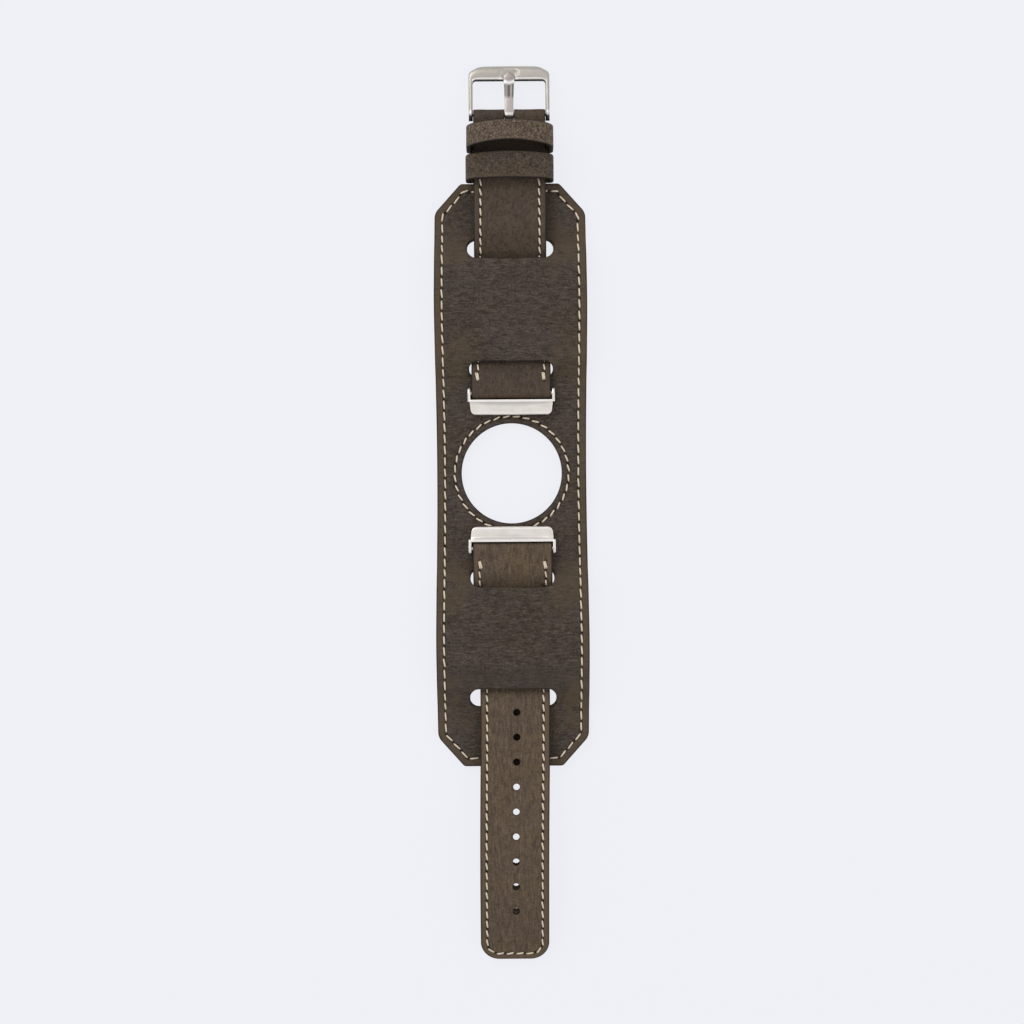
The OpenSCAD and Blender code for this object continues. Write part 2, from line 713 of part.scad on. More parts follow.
module buckle_tongue() {
    seat = tongue_seat_z + running_fit;
    side = [
        [0, barrel_r + running_fit, 0.05],
        [front_bar_y - 1, seat, 4],
        [tongue_end_y - 0.3, seat, 0.2],
        [tongue_end_y, seat + tongue_t * 0.3, 0.2],
        [tongue_end_y - 0.6, seat + tongue_t, 0.6],
        [front_bar_y - 1, seat + tongue_t, 4],
        [0, tongue_eye_r, 0.05]];
    color("#bdb8b0") on_bar() difference() {
        union() {
            rod(tongue_eye_r, -tongue_w / 2, tongue_w / 2);
            intersection() {
                across(tongue_w + 1) polygon(closed_line(side));
                plan() {
                    translate([-tongue_w / 2, -1]) square([tongue_w, tongue_end_y - 0.5]);
                    translate([0, tongue_end_y - tongue_w * 0.58]) circle(tongue_w * 0.58);
                }
            }
        }
        rod(barrel_r + running_fit, -tongue_w, tongue_w);
    }
}

// Spring bar: a barrel crimped at both ends, with a sprung tip in each end
module spring_bar_barrel() {
    color("#a9a59e") on_bar() difference() {
        rod(barrel_r, -barrel_end_x, barrel_end_x);
        rod(plunger_r + running_fit, -barrel_end_x + crimp_l, barrel_end_x - crimp_l);
        rod(neck_r + running_fit, -barrel_end_x - eps, barrel_end_x + eps);
    }
}
module spring_bar_tip() {
    rod(plunger_r, plunger_x, plunger_x + plunger_l);
    rod(neck_r, plunger_x, collar_x + eps);
    rod(collar_r, collar_x, collar_x + collar_t);
    rod(tip_r, collar_x, buckle_in_w / 2 + tip_reach);
}
module spring_bar_right_tip() {
    color("#9b978f") on_bar() spring_bar_tip();
}
module spring_bar_left_tip() {
    color("#9b978f") on_bar() rotate([0, 0, 180]) spring_bar_tip();
}
// A helical spring of wire along Z, from z0 to z1
module coil(r, wire_r, z0, z1, turns) {
    steps = turns * 10;
    sides = 6;
    rings = [for (i = [0:steps], j = [0:sides - 1])
        let (a = i * 36, b = j * 360 / sides, across_r = r - wire_r + wire_r * cos(b))
        [across_r * cos(a), across_r * sin(a),
            z0 + wire_r + (z1 - z0 - 2 * wire_r) * i / steps + wire_r * sin(b)]];
    walls = [for (i = [0:steps - 1], j = [0:sides - 1])
        let (k = i * sides, n = (j + 1) % sides)
        each [[k + j, k + n, k + sides + n], [k + j, k + sides + n, k + sides + j]]];
    caps = [for (j = [1:sides - 2]) each [[0, j + 1, j],
        [steps * sides, steps * sides + j, steps * sides + j + 1]]];
    polyhedron(rings, concat(walls, caps));
}
module spring_bar_spring() {
    color("#8f8b84") on_bar() rotate([0, 90, 0])
        coil(plunger_r - 0.04, 0.09, -plunger_x + tight_fit, plunger_x - tight_fit, 14);
}

// Connectors, round the pin's middle
module connector_body() {
    half = rail_w / 2;
    front_y = back_y + rail_depth;
    rail = [
        [-back_y, rail_bottom_z, 0.15],
        [-back_y, rail_top_z + 0.35, 0.15],
        [-back_y - 0.5, rail_top_z + 0.35, 0.15],
        [-back_y - 1.3, rail_top_z, 1],
        [-front_y, rail_top_z, 0.7],
        [-front_y, rail_bottom_z, 0.8],
        [-back_y - 2, rail_bottom_z, 0.15],
        [-back_y - 2, rail_bottom_z + 0.6, 0.2],
        [-back_y - 1.1, rail_bottom_z + 0.6, 0.2],
        [-back_y - 1.1, rail_bottom_z, 0.15]];
    color("#e0dcd8") difference() {
        union() {
            intersection() {
                across(rail_w) polygon(closed_line(backwards(rail)));
                plan() polygon(closed_line([
                    [-half, -back_y, eps], [-half, -front_y, 1.2],
                    [half, -front_y, 1.2], [half, -back_y, eps]]));
            }
            for (side = [-1, 1]) intersection() {
                translate([side * (ear_in_w + ear_t) / 2, 0, 0]) across(ear_t) union() {
                    circle(loop_r);
                    translate([-back_y - 1, -loop_r + 0.3]) square([back_y + 1, 2 * loop_r - 0.6]);
                }
            }
        }
        rod(pin_r + tight_fit, -ear_out_w, ear_out_w);
        // countersink of the pin's head
        rod(pin_head_r + tight_fit, ear_out_w / 2 - pin_head_t, ear_out_w);
        // bore of the sprung nub, with a narrower rim at its mouth
        translate([0, -nub_y, 0]) {
            translate([0, 0, rail_bottom_z - eps]) cylinder(r = nub_r + running_fit, h = 1);
            translate([0, 0, rail_bottom_z + nub_rim_t])
                cylinder(r = nub_flange_r + running_fit, h = nub_cavity_h);
        }
    }
}
module connector_pin() {
    color("#cfcbc5") difference() {
        union() {
            rod(pin_r, -ear_out_w / 2 + 0.1, ear_out_w / 2 - pin_head_t + 2 * tight_fit);
            rod(pin_head_r, ear_out_w / 2 - pin_head_t + tight_fit, ear_out_w / 2 - 0.05);
        }
        block([ear_out_w / 2 - pin_slot_d, -pin_slot_w / 2, -2], [ear_out_w / 2 + 1, pin_slot_w / 2, 2]);
    }
}
module connector_nub() {
    shaft_z = rail_bottom_z - nub_travel;
    flange_z = rail_bottom_z + nub_rim_t + tight_fit;
    color("#c4c0ba") translate([0, -nub_y, 0]) {
        translate([0, 0, shaft_z]) cylinder(r1 = nub_r - 0.15, r2 = nub_r, h = 0.15);
        translate([0, 0, shaft_z + 0.15]) cylinder(r = nub_r, h = flange_z - shaft_z - 0.15 + eps);
        translate([0, 0, flange_z]) cylinder(r = nub_flange_r, h = nub_flange_t);
    }
}
module connector_spring() {
    low_z = rail_bottom_z + nub_rim_t + nub_flange_t + 3 * tight_fit;
    high_z = rail_bottom_z + nub_rim_t + nub_cavity_h - tight_fit;
    color("#8f8b84") translate([0, -nub_y, 0]) coil(nub_flange_r - 0.15, 0.08, low_z, high_z, 3);
}
module upper_connector_body() { on_upper_pin() connector_body(); }
module upper_connector_pin() { on_upper_pin() connector_pin(); }
module upper_connector_nub() { on_upper_pin() connector_nub(); }
module upper_connector_spring() { on_upper_pin() connector_spring(); }
module lower_connector_body() { on_lower_pin() connector_body(); }
module lower_connector_pin() { on_lower_pin() connector_pin(); }
module lower_connector_nub() { on_lower_pin() connector_nub(); }
module lower_connector_spring() { on_lower_pin() connector_spring(); }

pad_top_leather();
pad_lining_leather();
pad_edge_thread();
window_thread();
buckle_strap_top();
buckle_strap_lining();
buckle_strap_thread();
fixed_keeper();
free_keeper();
buckle_frame();
buckle_tongue();
spring_bar_barrel();
spring_bar_spring();
spring_bar_left_tip();
spring_bar_right_tip();
tail_strap_top();
tail_strap_lining();
tail_strap_thread();
upper_connector_body();
upper_connector_pin();
upper_connector_nub();
upper_connector_spring();
lower_connector_body();
lower_connector_pin();
lower_connector_nub();
lower_connector_spring();
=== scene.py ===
# %% [markdown]
# # A bund watch strap in Blender
# A bund strap is a wide leather pad that lies under the watch, with a two-piece strap woven
# through slots in it. This lesson dresses the strap's CAD model for a picture taken from
# straight above. Every length in it is in millimetres until a mesh is made.

# %% Load the frame
import math
import bpy
import numpy as np
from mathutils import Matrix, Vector
from mathutils.geometry import delaunay_2d_cdt


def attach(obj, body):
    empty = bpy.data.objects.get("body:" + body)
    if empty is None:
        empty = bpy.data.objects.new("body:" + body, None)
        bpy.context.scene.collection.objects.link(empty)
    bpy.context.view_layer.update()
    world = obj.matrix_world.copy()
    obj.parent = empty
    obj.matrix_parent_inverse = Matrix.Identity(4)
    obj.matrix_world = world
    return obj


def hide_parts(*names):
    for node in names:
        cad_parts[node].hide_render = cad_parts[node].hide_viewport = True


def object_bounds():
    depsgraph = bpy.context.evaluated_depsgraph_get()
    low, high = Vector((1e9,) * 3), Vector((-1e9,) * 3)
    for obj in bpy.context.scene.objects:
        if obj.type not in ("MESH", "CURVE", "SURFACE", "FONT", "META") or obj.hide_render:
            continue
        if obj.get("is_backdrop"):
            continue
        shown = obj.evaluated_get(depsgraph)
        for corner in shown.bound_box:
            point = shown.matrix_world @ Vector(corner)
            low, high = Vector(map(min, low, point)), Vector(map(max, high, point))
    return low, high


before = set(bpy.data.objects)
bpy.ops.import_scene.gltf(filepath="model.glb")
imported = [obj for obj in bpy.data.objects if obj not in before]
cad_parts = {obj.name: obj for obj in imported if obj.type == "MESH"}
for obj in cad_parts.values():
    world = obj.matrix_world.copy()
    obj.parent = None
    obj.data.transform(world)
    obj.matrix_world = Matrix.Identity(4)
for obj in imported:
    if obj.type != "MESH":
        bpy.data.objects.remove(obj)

cad_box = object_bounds()
rng = np.random.default_rng(7)

# %% [markdown]
# ## The sizes that the pieces share
# The leather is woven through the slots, so most of its sizes are places along Y and heights in Z.
# They are the same values that the CAD source works with, so each new piece lies in its own solid.

# %% Sizes
# One leather of a strap half, and of the pad
LAYER, PAD_LAYER = 1.2, 1.0
HALF = LAYER / 2
# The pad: places along Y, heights of its low and high parts, its slots and its window
INNER_SLOT, OUTER_SLOT, SLOT_Z = 30.55, 65.4, 2.425
PAD_END, SHOULDER, WIDEST, PAD_SHIFT = 85.0, 76.5, 49.725, -0.45
LOW_Z, HIGH_Z, PAD_SLOPE = 1.0, 3.85, 28
SLOT_W, SLOT_L, SLOT_R, WINDOW_R = 25.1, 5.9, 2.4, 14.6
# The inner slots are a little narrower, and the upper one's far edge is nearer in the top layer
INNER_SLOT_W, FAR_EDGE = SLOT_W - 0.7, SLOT_L / 2 - 0.35
# The strap: its pins, the spring bar, its run under the pad, its tip and the glued folds
UPPER_PIN, LOWER_PIN, PIN_Z = 23.35, 21.85, 3.9
BAR_Y, BAR_Z, LINE_SLOPE = 104.4, 3.0073, 5.0
BAR_COS, BAR_SIN = math.cos(math.radians(LINE_SLOPE)), math.sin(math.radians(LINE_SLOPE))
UNDER_Z, WEAVE_SLOPE, TIP_Y, FOLD = 1.35, 30, 141.4, 6.0
# Widths: at the connector, and of each half beyond the pad, at its end, and the end's radius
PIN_W, BUCKLE_W, TAIL_W = 23.1, (21.1, 21.0, 0.8), (20.3, 19.9, 5.4)
# The tail's holes: number, pitch, the first one's distance from the tip, radius, place aside
HOLES, HOLE_PITCH, FIRST_HOLE, HOLE_R, HOLE_ASIDE = 9, 7.19, 14.2, 0.97, -0.42
# Seams: distance from the edge, stitch length, the share of it that shows, the thread's width
PAD_INSET, STRAP_INSET, WINDOW_INSET = 2.3, 1.9, 2.0
PAD_PITCH, STRAP_PITCH, WINDOW_PITCH = 3.3, 2.85, 2.9
STITCH_SHARE, THREAD_W, ROW_START = 0.83, 0.54, 3.4

# %% [markdown]
# ## Lines with rounded corners
# A strap's side view and each piece's outline are drawn like a maker's paper pattern: straight
# runs between corners, and each corner rounded by a radius. An arc of radius r touches both runs
# at r / tan(half the corner) from the corner.

# %% Arcs, open lines and outlines
def unit(v):
    """The vector divided by its length."""
    return v / np.linalg.norm(v)


def left_of(v):
    """The vector turned left by a right angle: (-y, x)."""
    return np.array([-v[1], v[0]])


def lengths(points):
    """The length along a line up to each of its points: the running sum of its steps."""
    return np.r_[0, np.cumsum(np.linalg.norm(np.diff(points, axis=0), axis=1))]


def on_line(points, s, at):
    """The places on a flat line at the lengths in at, straight between its points."""
    return np.c_[np.interp(at, s, points[:, 0]), np.interp(at, s, points[:, 1])]


def arc(a, b, c, r, count):
    """count + 1 points on the arc of radius r that rounds corner b between points a and c. Its
    centre is b + bisector * r / sin(half the corner), and it turns from one touching point to
    the other."""
    back, ahead = unit(a - b), unit(c - b)
    half = math.acos(np.clip(back @ ahead, -1, 1)) / 2
    centre = b + unit(back + ahead) * r / math.sin(half)
    start = b + back * r / math.tan(half) - centre
    way = -np.sign(back[0] * ahead[1] - back[1] * ahead[0])
    turn = way * (math.pi - 2 * half) * np.linspace(0, 1, count + 1)
    return centre + np.c_[start[0] * np.cos(turn) - start[1] * np.sin(turn),
                          start[0] * np.sin(turn) + start[1] * np.cos(turn)]


def open_line(corners, count=14):
    """First corner, an arc round each inner corner (x, y, radius), last corner."""
    p = [np.array(c[:2], float) for c in corners]
    inner = [arc(p[i - 1], p[i], p[i + 1], corners[i][2], count) for i in range(1, len(p) - 1)]
    return np.vstack([p[:1], *inner, p[-1:]])


def outline(corners, step=0.45):
    """ring(d): the closed outline through anticlockwise corners (x, y, radius), moved inwards by
    d. Each corner moves along its bisector by d / cos(half its turn), an outward corner's radius
    loses d and an inward corner's gains it. Every ring has the same number of points."""
    p = np.array([c[:2] for c in corners], float)
    radius = np.array([c[2] for c in corners], float)
    n = len(p)
    run_in = np.array([unit(p[i] - p[i - 1]) for i in range(n)])
    run_out = np.roll(run_in, -1, axis=0)
    turn = run_in[:, 0] * run_out[:, 1] - run_in[:, 1] * run_out[:, 0]
    cosine = np.sqrt((1 + (run_in * run_out).sum(1)) / 2)
    bisector = np.array([unit(left_of(a) + left_of(b)) for a, b in zip(run_in, run_out)])
    swept = 2 * np.arccos(np.clip(cosine, -1, 1)) * radius
    in_arc = np.maximum(5, np.ceil(swept / step)).astype(int)

    def arcs(d):
        """The arc at each corner when the outline is moved in by d."""
        q = p + bisector * (d / cosine)[:, None]
        r = np.where(turn > 0, np.maximum(radius - d, 0.25), radius + d)
        return [arc(q[i - 1], q[i], q[(i + 1) % n], r[i], in_arc[i]) for i in range(n)]

    rest = arcs(0)
    gaps = [np.linalg.norm(rest[(i + 1) % n][0] - rest[i][-1]) for i in range(n)]
    in_gap = [max(1, int(g / step)) for g in gaps]

    def ring(d):
        """The outline moved in by d: its arcs, and points at equal steps between them."""
        pieces = []
        now = arcs(d)
        for i in range(n):
            t = np.linspace(0, 1, in_gap[i] + 1)[1:-1, None]
            pieces += [now[i], now[i][-1] * (1 - t) + now[(i + 1) % n][0] * t]
        return np.vstack(pieces)
    return ring


def circle(x, y, r, count=48):
    """ring(d): a circle of radius r - d."""
    a = np.linspace(0, 2 * math.pi, count, endpoint=False)
    return lambda d: np.c_[x + (r - d) * np.cos(a), y + (r - d) * np.sin(a)]


def both_sides(right):
    """Corners up the right side, then the same mirrored down the left."""
    return right + [(-c[0], *c[1:]) for c in right[::-1]]


# %% [markdown]
# ## The side lines
# Leather is cut flat and then bent, so each piece is worked out flat, with x across and s along,
# and a side line bends it: the line gives the place (y, z) and the slope at each s. The top
# leather of a strap half also wraps round the connector's pin, and at the buckle round the spring
# bar, and its end is glued back under the strap.

# %% Side lines of the pad, the buckle half and the tail
def side(points, thick=None):
    """The side line through points (y, z): s is the length so far, and the slope is that of the
    central difference."""
    points = np.asarray(points, float)
    keep = np.r_[True, np.linalg.norm(np.diff(points, axis=0), axis=1) > 1e-6]
    points = points[keep]
    s = lengths(points)
    run = np.gradient(points, s, axis=0)
    angle = np.unwrap(np.arctan2(run[:, 1], run[:, 0]))
    k = np.ones(len(s)) if thick is None else np.asarray(thick)[keep]
    return {"y": points[:, 0], "z": points[:, 1], "s": s, "a": angle, "k": k}


def dense(points, step=0.3):
    """The same line with points about step apart."""
    s = lengths(points)
    return on_line(points, s, np.unique(np.r_[s, np.arange(0, s[-1], step)]))


def shifted(points, d):
    """The line moved to its left by d."""
    run = np.gradient(points, axis=0)
    run /= np.linalg.norm(run, axis=1)[:, None]
    return points + d * np.c_[-run[:, 1], run[:, 0]]


def bent(line, x, s, h):
    """(x, s, h) on the bent leather: the line's place at s, raised by h along its normal. The
    line's sway moves it sideways by sway * exp(-((y - 68) / 32)^2), as it lies a bit aslant."""
    y, z, a, k = (np.interp(s, line["s"], line[key]) for key in "yzak")
    aside = line.get("sway", 0) * np.exp(-((y - 68) / 32) ** 2)
    return np.stack([x + aside, y - h * k * np.sin(a), z + h * k * np.cos(a)], axis=-1)


def slope_y(slot, z, way):
    """Where the strap's slope through a slot reaches height z: slot + (z - SLOT_Z) / tan(slope)."""
    return slot + way * (z - SLOT_Z) / math.tan(math.radians(WEAVE_SLOPE))


def weave(pin):
    """Corners (y, z, radius) from the pin down the inner slot and under the pad."""
    return [(pin, PIN_Z), (slope_y(INNER_SLOT, PIN_Z, -1), PIN_Z, 4),
            (slope_y(INNER_SLOT, UNDER_Z, -1), UNDER_Z, 4),
            (slope_y(OUTER_SLOT, UNDER_Z, 1), UNDER_Z, 4)]


slope_run = (HIGH_Z - LOW_Z) / 2 / math.tan(math.radians(PAD_SLOPE))
half_pad = [(INNER_SLOT - slope_run, LOW_Z, 4), (INNER_SLOT + slope_run, HIGH_Z, 4),
            (OUTER_SLOT - slope_run, HIGH_Z, 4), (OUTER_SLOT + slope_run, LOW_Z, 4),
            (PAD_END, LOW_Z, 0)]
pad_points = open_line([(-c[0], *c[1:]) for c in half_pad[::-1]] + half_pad)
pad_line = side(np.vstack([(-PAD_END - 2, LOW_Z), dense(pad_points), (PAD_END + 2, LOW_Z)]))
buckle_points = dense(open_line(weave(UPPER_PIN) + [(71.408, 5.894, 6), (BAR_Y, BAR_Z)]))
# The tail rises out of its slot to 3.5, climbs by 5 degrees, and curls down to its tip
over_z, curl_y = 3.5, 122.02
over_y = slope_y(OUTER_SLOT, over_z, 1)
curl_z = over_z + (curl_y - over_y) * math.tan(math.radians(5))
tail_points = dense(open_line(weave(LOWER_PIN) + [
    (over_y, over_z, 6), (curl_y, curl_z, 76), (TIP_Y, 1.35)], 40))
print("pad cut length:", round(pad_line["s"][-1], 1), "mm")

# %% [markdown]
# The loops round the pin and the bar are half circles with an easing at each end, where the
# leather comes back against itself: its height over the strap's middle plane runs from half a
# layer to the loop's radius as (1 + cos) / 2.

# %% Loops round the pin and the bar
def loop(radius, thick, turned=1):
    """(y, z, thickness) from the fold's end under the strap, round a pin at 0, and up to 3 mm
    along the top. turned = -1 gives the mirrored loop from the top to the fold's end."""
    y = np.linspace(FOLD, 0, 24)
    ease = (1 + np.cos(math.pi * np.minimum(y / 3, 1))) / 2
    lift = HALF + (radius - HALF) * ease
    k = 1 - (1 - thick / LAYER) * ease
    a = np.radians(np.linspace(270, 90, 22))[1:-1]
    under = np.c_[y, -lift, k]
    round_pin = np.c_[radius * np.cos(a), radius * np.sin(a), np.full(len(a), thick / LAYER)]
    over = np.c_[y, lift, k][y <= 3.05][::-1]
    path = np.vstack([under, round_pin, over])
    return path if turned == 1 else np.c_[-path[:, 0], path[:, 1:]][::-1]


def strip(points, pin, bar=None):
    """The top leather's side line: its loop round the pin, its run half a layer over the strap's
    middle plane, and its loop round the bar."""
    start = loop(1.12, 0.96)
    start[:, :2] += pin
    run = shifted(points, HALF)
    run = run[run[:, 0] > pin[0] + 3.1]
    parts = [start]
    if bar is None:
        parts.append(np.c_[run, np.ones(len(run))])
    else:
        end = loop(1.26, 0.98, -1)
        end[:, :2] = end[:, :2] @ np.array([[BAR_COS, -BAR_SIN], [BAR_SIN, BAR_COS]]) + bar
        run = run[run[:, 0] < bar[0] - 3.1]
        parts += [np.c_[run, np.ones(len(run))], end]
    path = np.vstack(parts)
    line = side(path[:, :2], path[:, 2])
    line["top"] = len(start) - 5
    line["end"] = len(start) + len(run)
    return line


def s_at(line, y):
    """The flat length s where the strip's upper run passes y."""
    upper = slice(line.get("top", 0), line.get("end", len(line["s"])))
    return np.interp(y, line["y"][upper], line["s"][upper])


buckle_line = strip(buckle_points, (UPPER_PIN, PIN_Z), (BAR_Y, BAR_Z))
tail_line = strip(tail_points, (LOWER_PIN, PIN_Z))
buckle_lining_line = side(shifted(buckle_points, -HALF))
tail_lining_line = side(shifted(tail_points, -HALF))
tail_line["sway"] = tail_lining_line["sway"] = -0.55
print("top leathers cut to", [round(line["s"][-1], 1) for line in (buckle_line, tail_line)], "mm")

# %% [markdown]
# ## A cut panel
# A cut piece of leather is a closed shell. Its edge is a profile of rings: each ring is the
# outline moved inwards by d at a height h, from the underside round the cut edge to the top,
# with the stitch groove as one more dip on the way in. The middle is filled by a Delaunay
# triangulation over a grid of points, fine enough to follow the bends. A Solidify modifier on a
# flat cut would be quicker, but it can't round the edge or press in the stitches.

# %% Helpers for meshes
def piece(name, points, faces, body, layers=None, smooth=60):
    """A mesh object from points in millimetres, with one value for each point in each layer.
    Edges sharper than smooth degrees stay sharp."""
    mesh = bpy.data.meshes.new(name)
    mesh.from_pydata((np.asarray(points) * 0.001).tolist(), [], faces)
    mesh.polygons.foreach_set("use_smooth", np.ones(len(mesh.polygons), bool))
    for key, values in (layers or {}).items():
        data = mesh.attributes.new(key, "FLOAT", "POINT")
        data.data.foreach_set("value", np.asarray(values, np.float32))
    mesh.validate()
    mesh.set_sharp_from_angle(angle=math.radians(smooth))
    obj = bpy.data.objects.new(name, mesh)
    bpy.context.scene.collection.objects.link(obj)
    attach(obj, body)
    print(name, len(mesh.vertices), "points", len(mesh.polygons), "faces")
    return obj


# %% Faces between rings
def outward(points, faces):
    """The same faces, all turned over if the volume they enclose is negative: a sixth of the sum
    of a . (b x c) over a fan of triangles in each face."""
    fan = np.array([(f[0], f[k], f[k + 1]) for f in faces for k in range(1, len(f) - 1)])
    a, b, c = np.moveaxis(np.asarray(points)[fan], 1, 0)
    return faces if (a * np.cross(b, c)).sum() > 0 else [f[::-1] for f in faces]


def band_faces(first, second, count, closed=True):
    """Quads between two rings of count points that start at these numbers."""
    i = np.arange(count if closed else count - 1)
    j = (i + 1) % count
    return np.c_[first + i, first + j, second + j, second + i].tolist()


# %% Filling the middle of a panel
def inside(points, ring):
    """Even-odd rule: whether a ray along +x from a point crosses the ring an odd number of
    times."""
    a, b = ring, np.roll(ring, -1, axis=0)
    x, y = points[:, :1], points[:, 1:]
    spans = (a[:, 1] > y) != (b[:, 1] > y)
    with np.errstate(divide="ignore", invalid="ignore"):
        cross = a[:, 0] + (y - a[:, 1]) * (b[:, 0] - a[:, 0]) / (b[:, 1] - a[:, 1])
    return (spans & (x < cross)).sum(1) % 2 == 1


def fill(loops, clear, step=0.85):
    """Triangles between an outer loop and hole loops, over a grid of points that keeps clear of
    them. Returns the points that were added and the triangles."""
    low, high = loops[0].min(0), loops[0].max(0)
    x, y = np.meshgrid(np.arange(low[0], high[0], step), np.arange(low[1], high[1], step))
    grid = np.c_[x.ravel(), y.ravel()]
    keep = inside(grid, clear[0])
    for hole in clear[1:]:
        keep &= ~inside(grid, hole)
    grid = grid[keep]
    every = np.vstack(loops + [grid])
    edges, start = [], 0
    for one in loops:
        i = np.arange(len(one))
        edges += np.c_[start + i, start + (i + 1) % len(one)].tolist()
        start += len(one)
    out = delaunay_2d_cdt(every.tolist(), edges, [], 0, 1e-7)
    found = np.array([o[0] for o in out[3]])
    triangles = found[np.array(out[2])]
    a, b, c = np.moveaxis(every[triangles], 1, 0)
    area = (b - a)[:, 0] * (c - a)[:, 1] - (b - a)[:, 1] * (c - a)[:, 0]
    middle = (a + b + c) / 3
    good = inside(middle, loops[0]) & (np.abs(area) > 2e-4)
    for hole in loops[1:]:
        good &= ~inside(middle, hole)
    return grid, triangles[good]


# %% [markdown]
# Stitches press the leather down. Where a stitch dives into its hole the groove is deepest, and
# between two stitches the leather stands up again, so the groove's depth is a function of the
# length along the seam.

# %% Seams and the panel
def seam(points, pitch, closed=False):
    """A stitch line through flat points: its places 0.1 mm apart and its number of stitches."""
    if closed:
        points = np.vstack([points, points[:1]])
    s = lengths(points)
    count = int(round(s[-1] / pitch))
    at = np.linspace(0, s[-1], int(s[-1] / 0.1))
    return {"points": on_line(points, s, at), "s": at, "count": count, "pitch": s[-1] / count}


def phase(one, points):
    """For each point, its distance to the seam and the phase 0..1 of the stitch beside it."""
    gap = np.full(len(points), 1e9)
    at = np.zeros(len(points))
    for start in range(0, len(points), 500):
        part = points[start:start + 500]
        d = np.linalg.norm(part[:, None, :] - one["points"][None], axis=2)
        gap[start:start + 500] = d.min(1)
        at[start:start + 500] = one["s"][d.argmin(1)]
    return gap, at / one["pitch"] % 1


def dent(one, points):
    """Depth of the pressed seam: a groove 0.9 mm wide under the stitch, 0.3 mm deeper round each
    needle hole, and nothing between two stitches. Also how near a needle hole and how near the
    seam's line a point is, 0..1."""
    gap, at = phase(one, points)
    groove = np.exp(-(gap / 0.42) ** 2)
    half = STITCH_SHARE / 2
    off = np.abs(at - 0.5)
    under = 1 / (1 + np.exp((off - half - 0.03) / 0.03))
    needle = np.exp(-((off - half) / 0.055) ** 2)
    hole = needle * np.exp(-(gap / 0.3) ** 2)
    return groove * (0.10 + 0.16 * under) + 0.28 * hole, hole, np.exp(-(gap / 0.5) ** 2)


def edge_rings(low, high, inner, seam_at=None, bevel=0.32, top=True):
    """(d, h) from the underside's inner ring round the cut edge to the top's inner ring. The top
    edge is pressed down over the last millimetre."""
    t = high - low
    r = min(bevel, t * 0.4)
    under = [(inner, low), (inner * 0.55, low), (r * 1.3, low + 0.01), (r * 0.55, low + r * 0.16),
             (r * 0.15, low + r * 0.5), (0, low + r)]
    over = [(0, high - r * 1.35), (r * 0.15, high - r * 0.8), (r * 0.5, high - r * 0.42),
            (r, high - r * 0.22), (r * 1.8, high - r * 0.1), (r * 3, high - 0.01)]
    if seam_at:
        over += [(seam_at + g, high) for g in (-0.75, -0.5, -0.32, -0.16, 0, 0.16, 0.32, 0.5, 0.75)]
    over = over[:1] + [b for a, b in zip(over, over[1:]) if b[0] > a[0] or b[1] > a[1]]
    rings = under + [(0, (low + high) / 2)] + over + [(inner, high)]
    return rings if top else [(d, low + high - h) for d, h in rings[::-1]]


# %% The panel
AWAY = 5.0


def panel(name, line, rings, profiles, body, node, seams=()):
    """A cut panel. rings[0] is the outline and the others are its holes, whose rings grow
    outwards; profiles gives each one's (d, h) list, from the underside to the top. It keeps how
    far each point is from the outline, from a hole, from a needle hole and from a seam."""
    flat, faces, edge, rim = [], [], [], []
    start, inner_low, inner_high, clear = 0, [], [], []
    for number, (ring, profile) in enumerate(zip(rings, profiles)):
        sign = -1 if number else 1
        loops = [ring(sign * d) for d, h in profile]
        size = len(loops[0])
        for k, ((d, h), points) in enumerate(zip(profile, loops)):
            flat.append(np.c_[points, np.full(size, h)])
            edge.append(np.full(size, AWAY if number else d))
            rim.append(np.full(size, d if number else AWAY))
            if k:
                a, b = start + (k - 1) * size, start + k * size
                faces += band_faces(b, a, size) if number else band_faces(a, b, size)
        inner_low.append(np.arange(start, start + size))
        inner_high.append(np.arange(start + (len(profile) - 1) * size, start + len(profile) * size))
        clear.append(ring(sign * (profile[-1][0] + 0.45)))
        start += size * len(profile)
    every = np.vstack(flat)[:, :2]
    grid, triangles = fill([every[i] for i in inner_high], clear)
    low, high = profiles[0][0][1], profiles[0][-1][1]
    for level, loops, flip in ((high, inner_high, False), (low, inner_low, True)):
        number = np.concatenate(loops + [start + np.arange(len(grid))])[triangles]
        faces += (number[:, ::-1] if flip else number).tolist()
        flat.append(np.c_[grid, np.full(len(grid), level)])
        edge.append(np.full(len(grid), AWAY))
        rim.append(np.full(len(grid), AWAY))
        start += len(grid)
    flat, edge, rim = np.vstack(flat), np.concatenate(edge), np.concatenate(rim)
    needle, groove = np.zeros((2, len(flat)))
    for one, face in seams:
        level = high if face > 0 else low
        near = (np.abs(flat[:, 2] - level) < 0.5) & (np.minimum(edge, rim) < 4)
        depth, at_needle, at_groove = dent(one, flat[near, :2])
        flat[near, 2] -= face * depth
        needle[near] = np.maximum(needle[near], at_needle)
        groove[near] = np.maximum(groove[near], at_groove)
    points = bent(line, *flat.T)
    if name.startswith("tail"):
        points[:, :2] *= -1
    obj = piece(name, points, faces, body, {
        "edge": edge, "rim": rim, "needle": needle, "groove": groove, "cut_s": flat[:, 1]})
    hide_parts(node)
    return obj


# %% [markdown]
# ## The pad
# The pad is two layers of a soft brown leather, skived thin and sewn together round the edge and
# round the window. Each layer is its own shell, so the cut edge shows the joint between them.

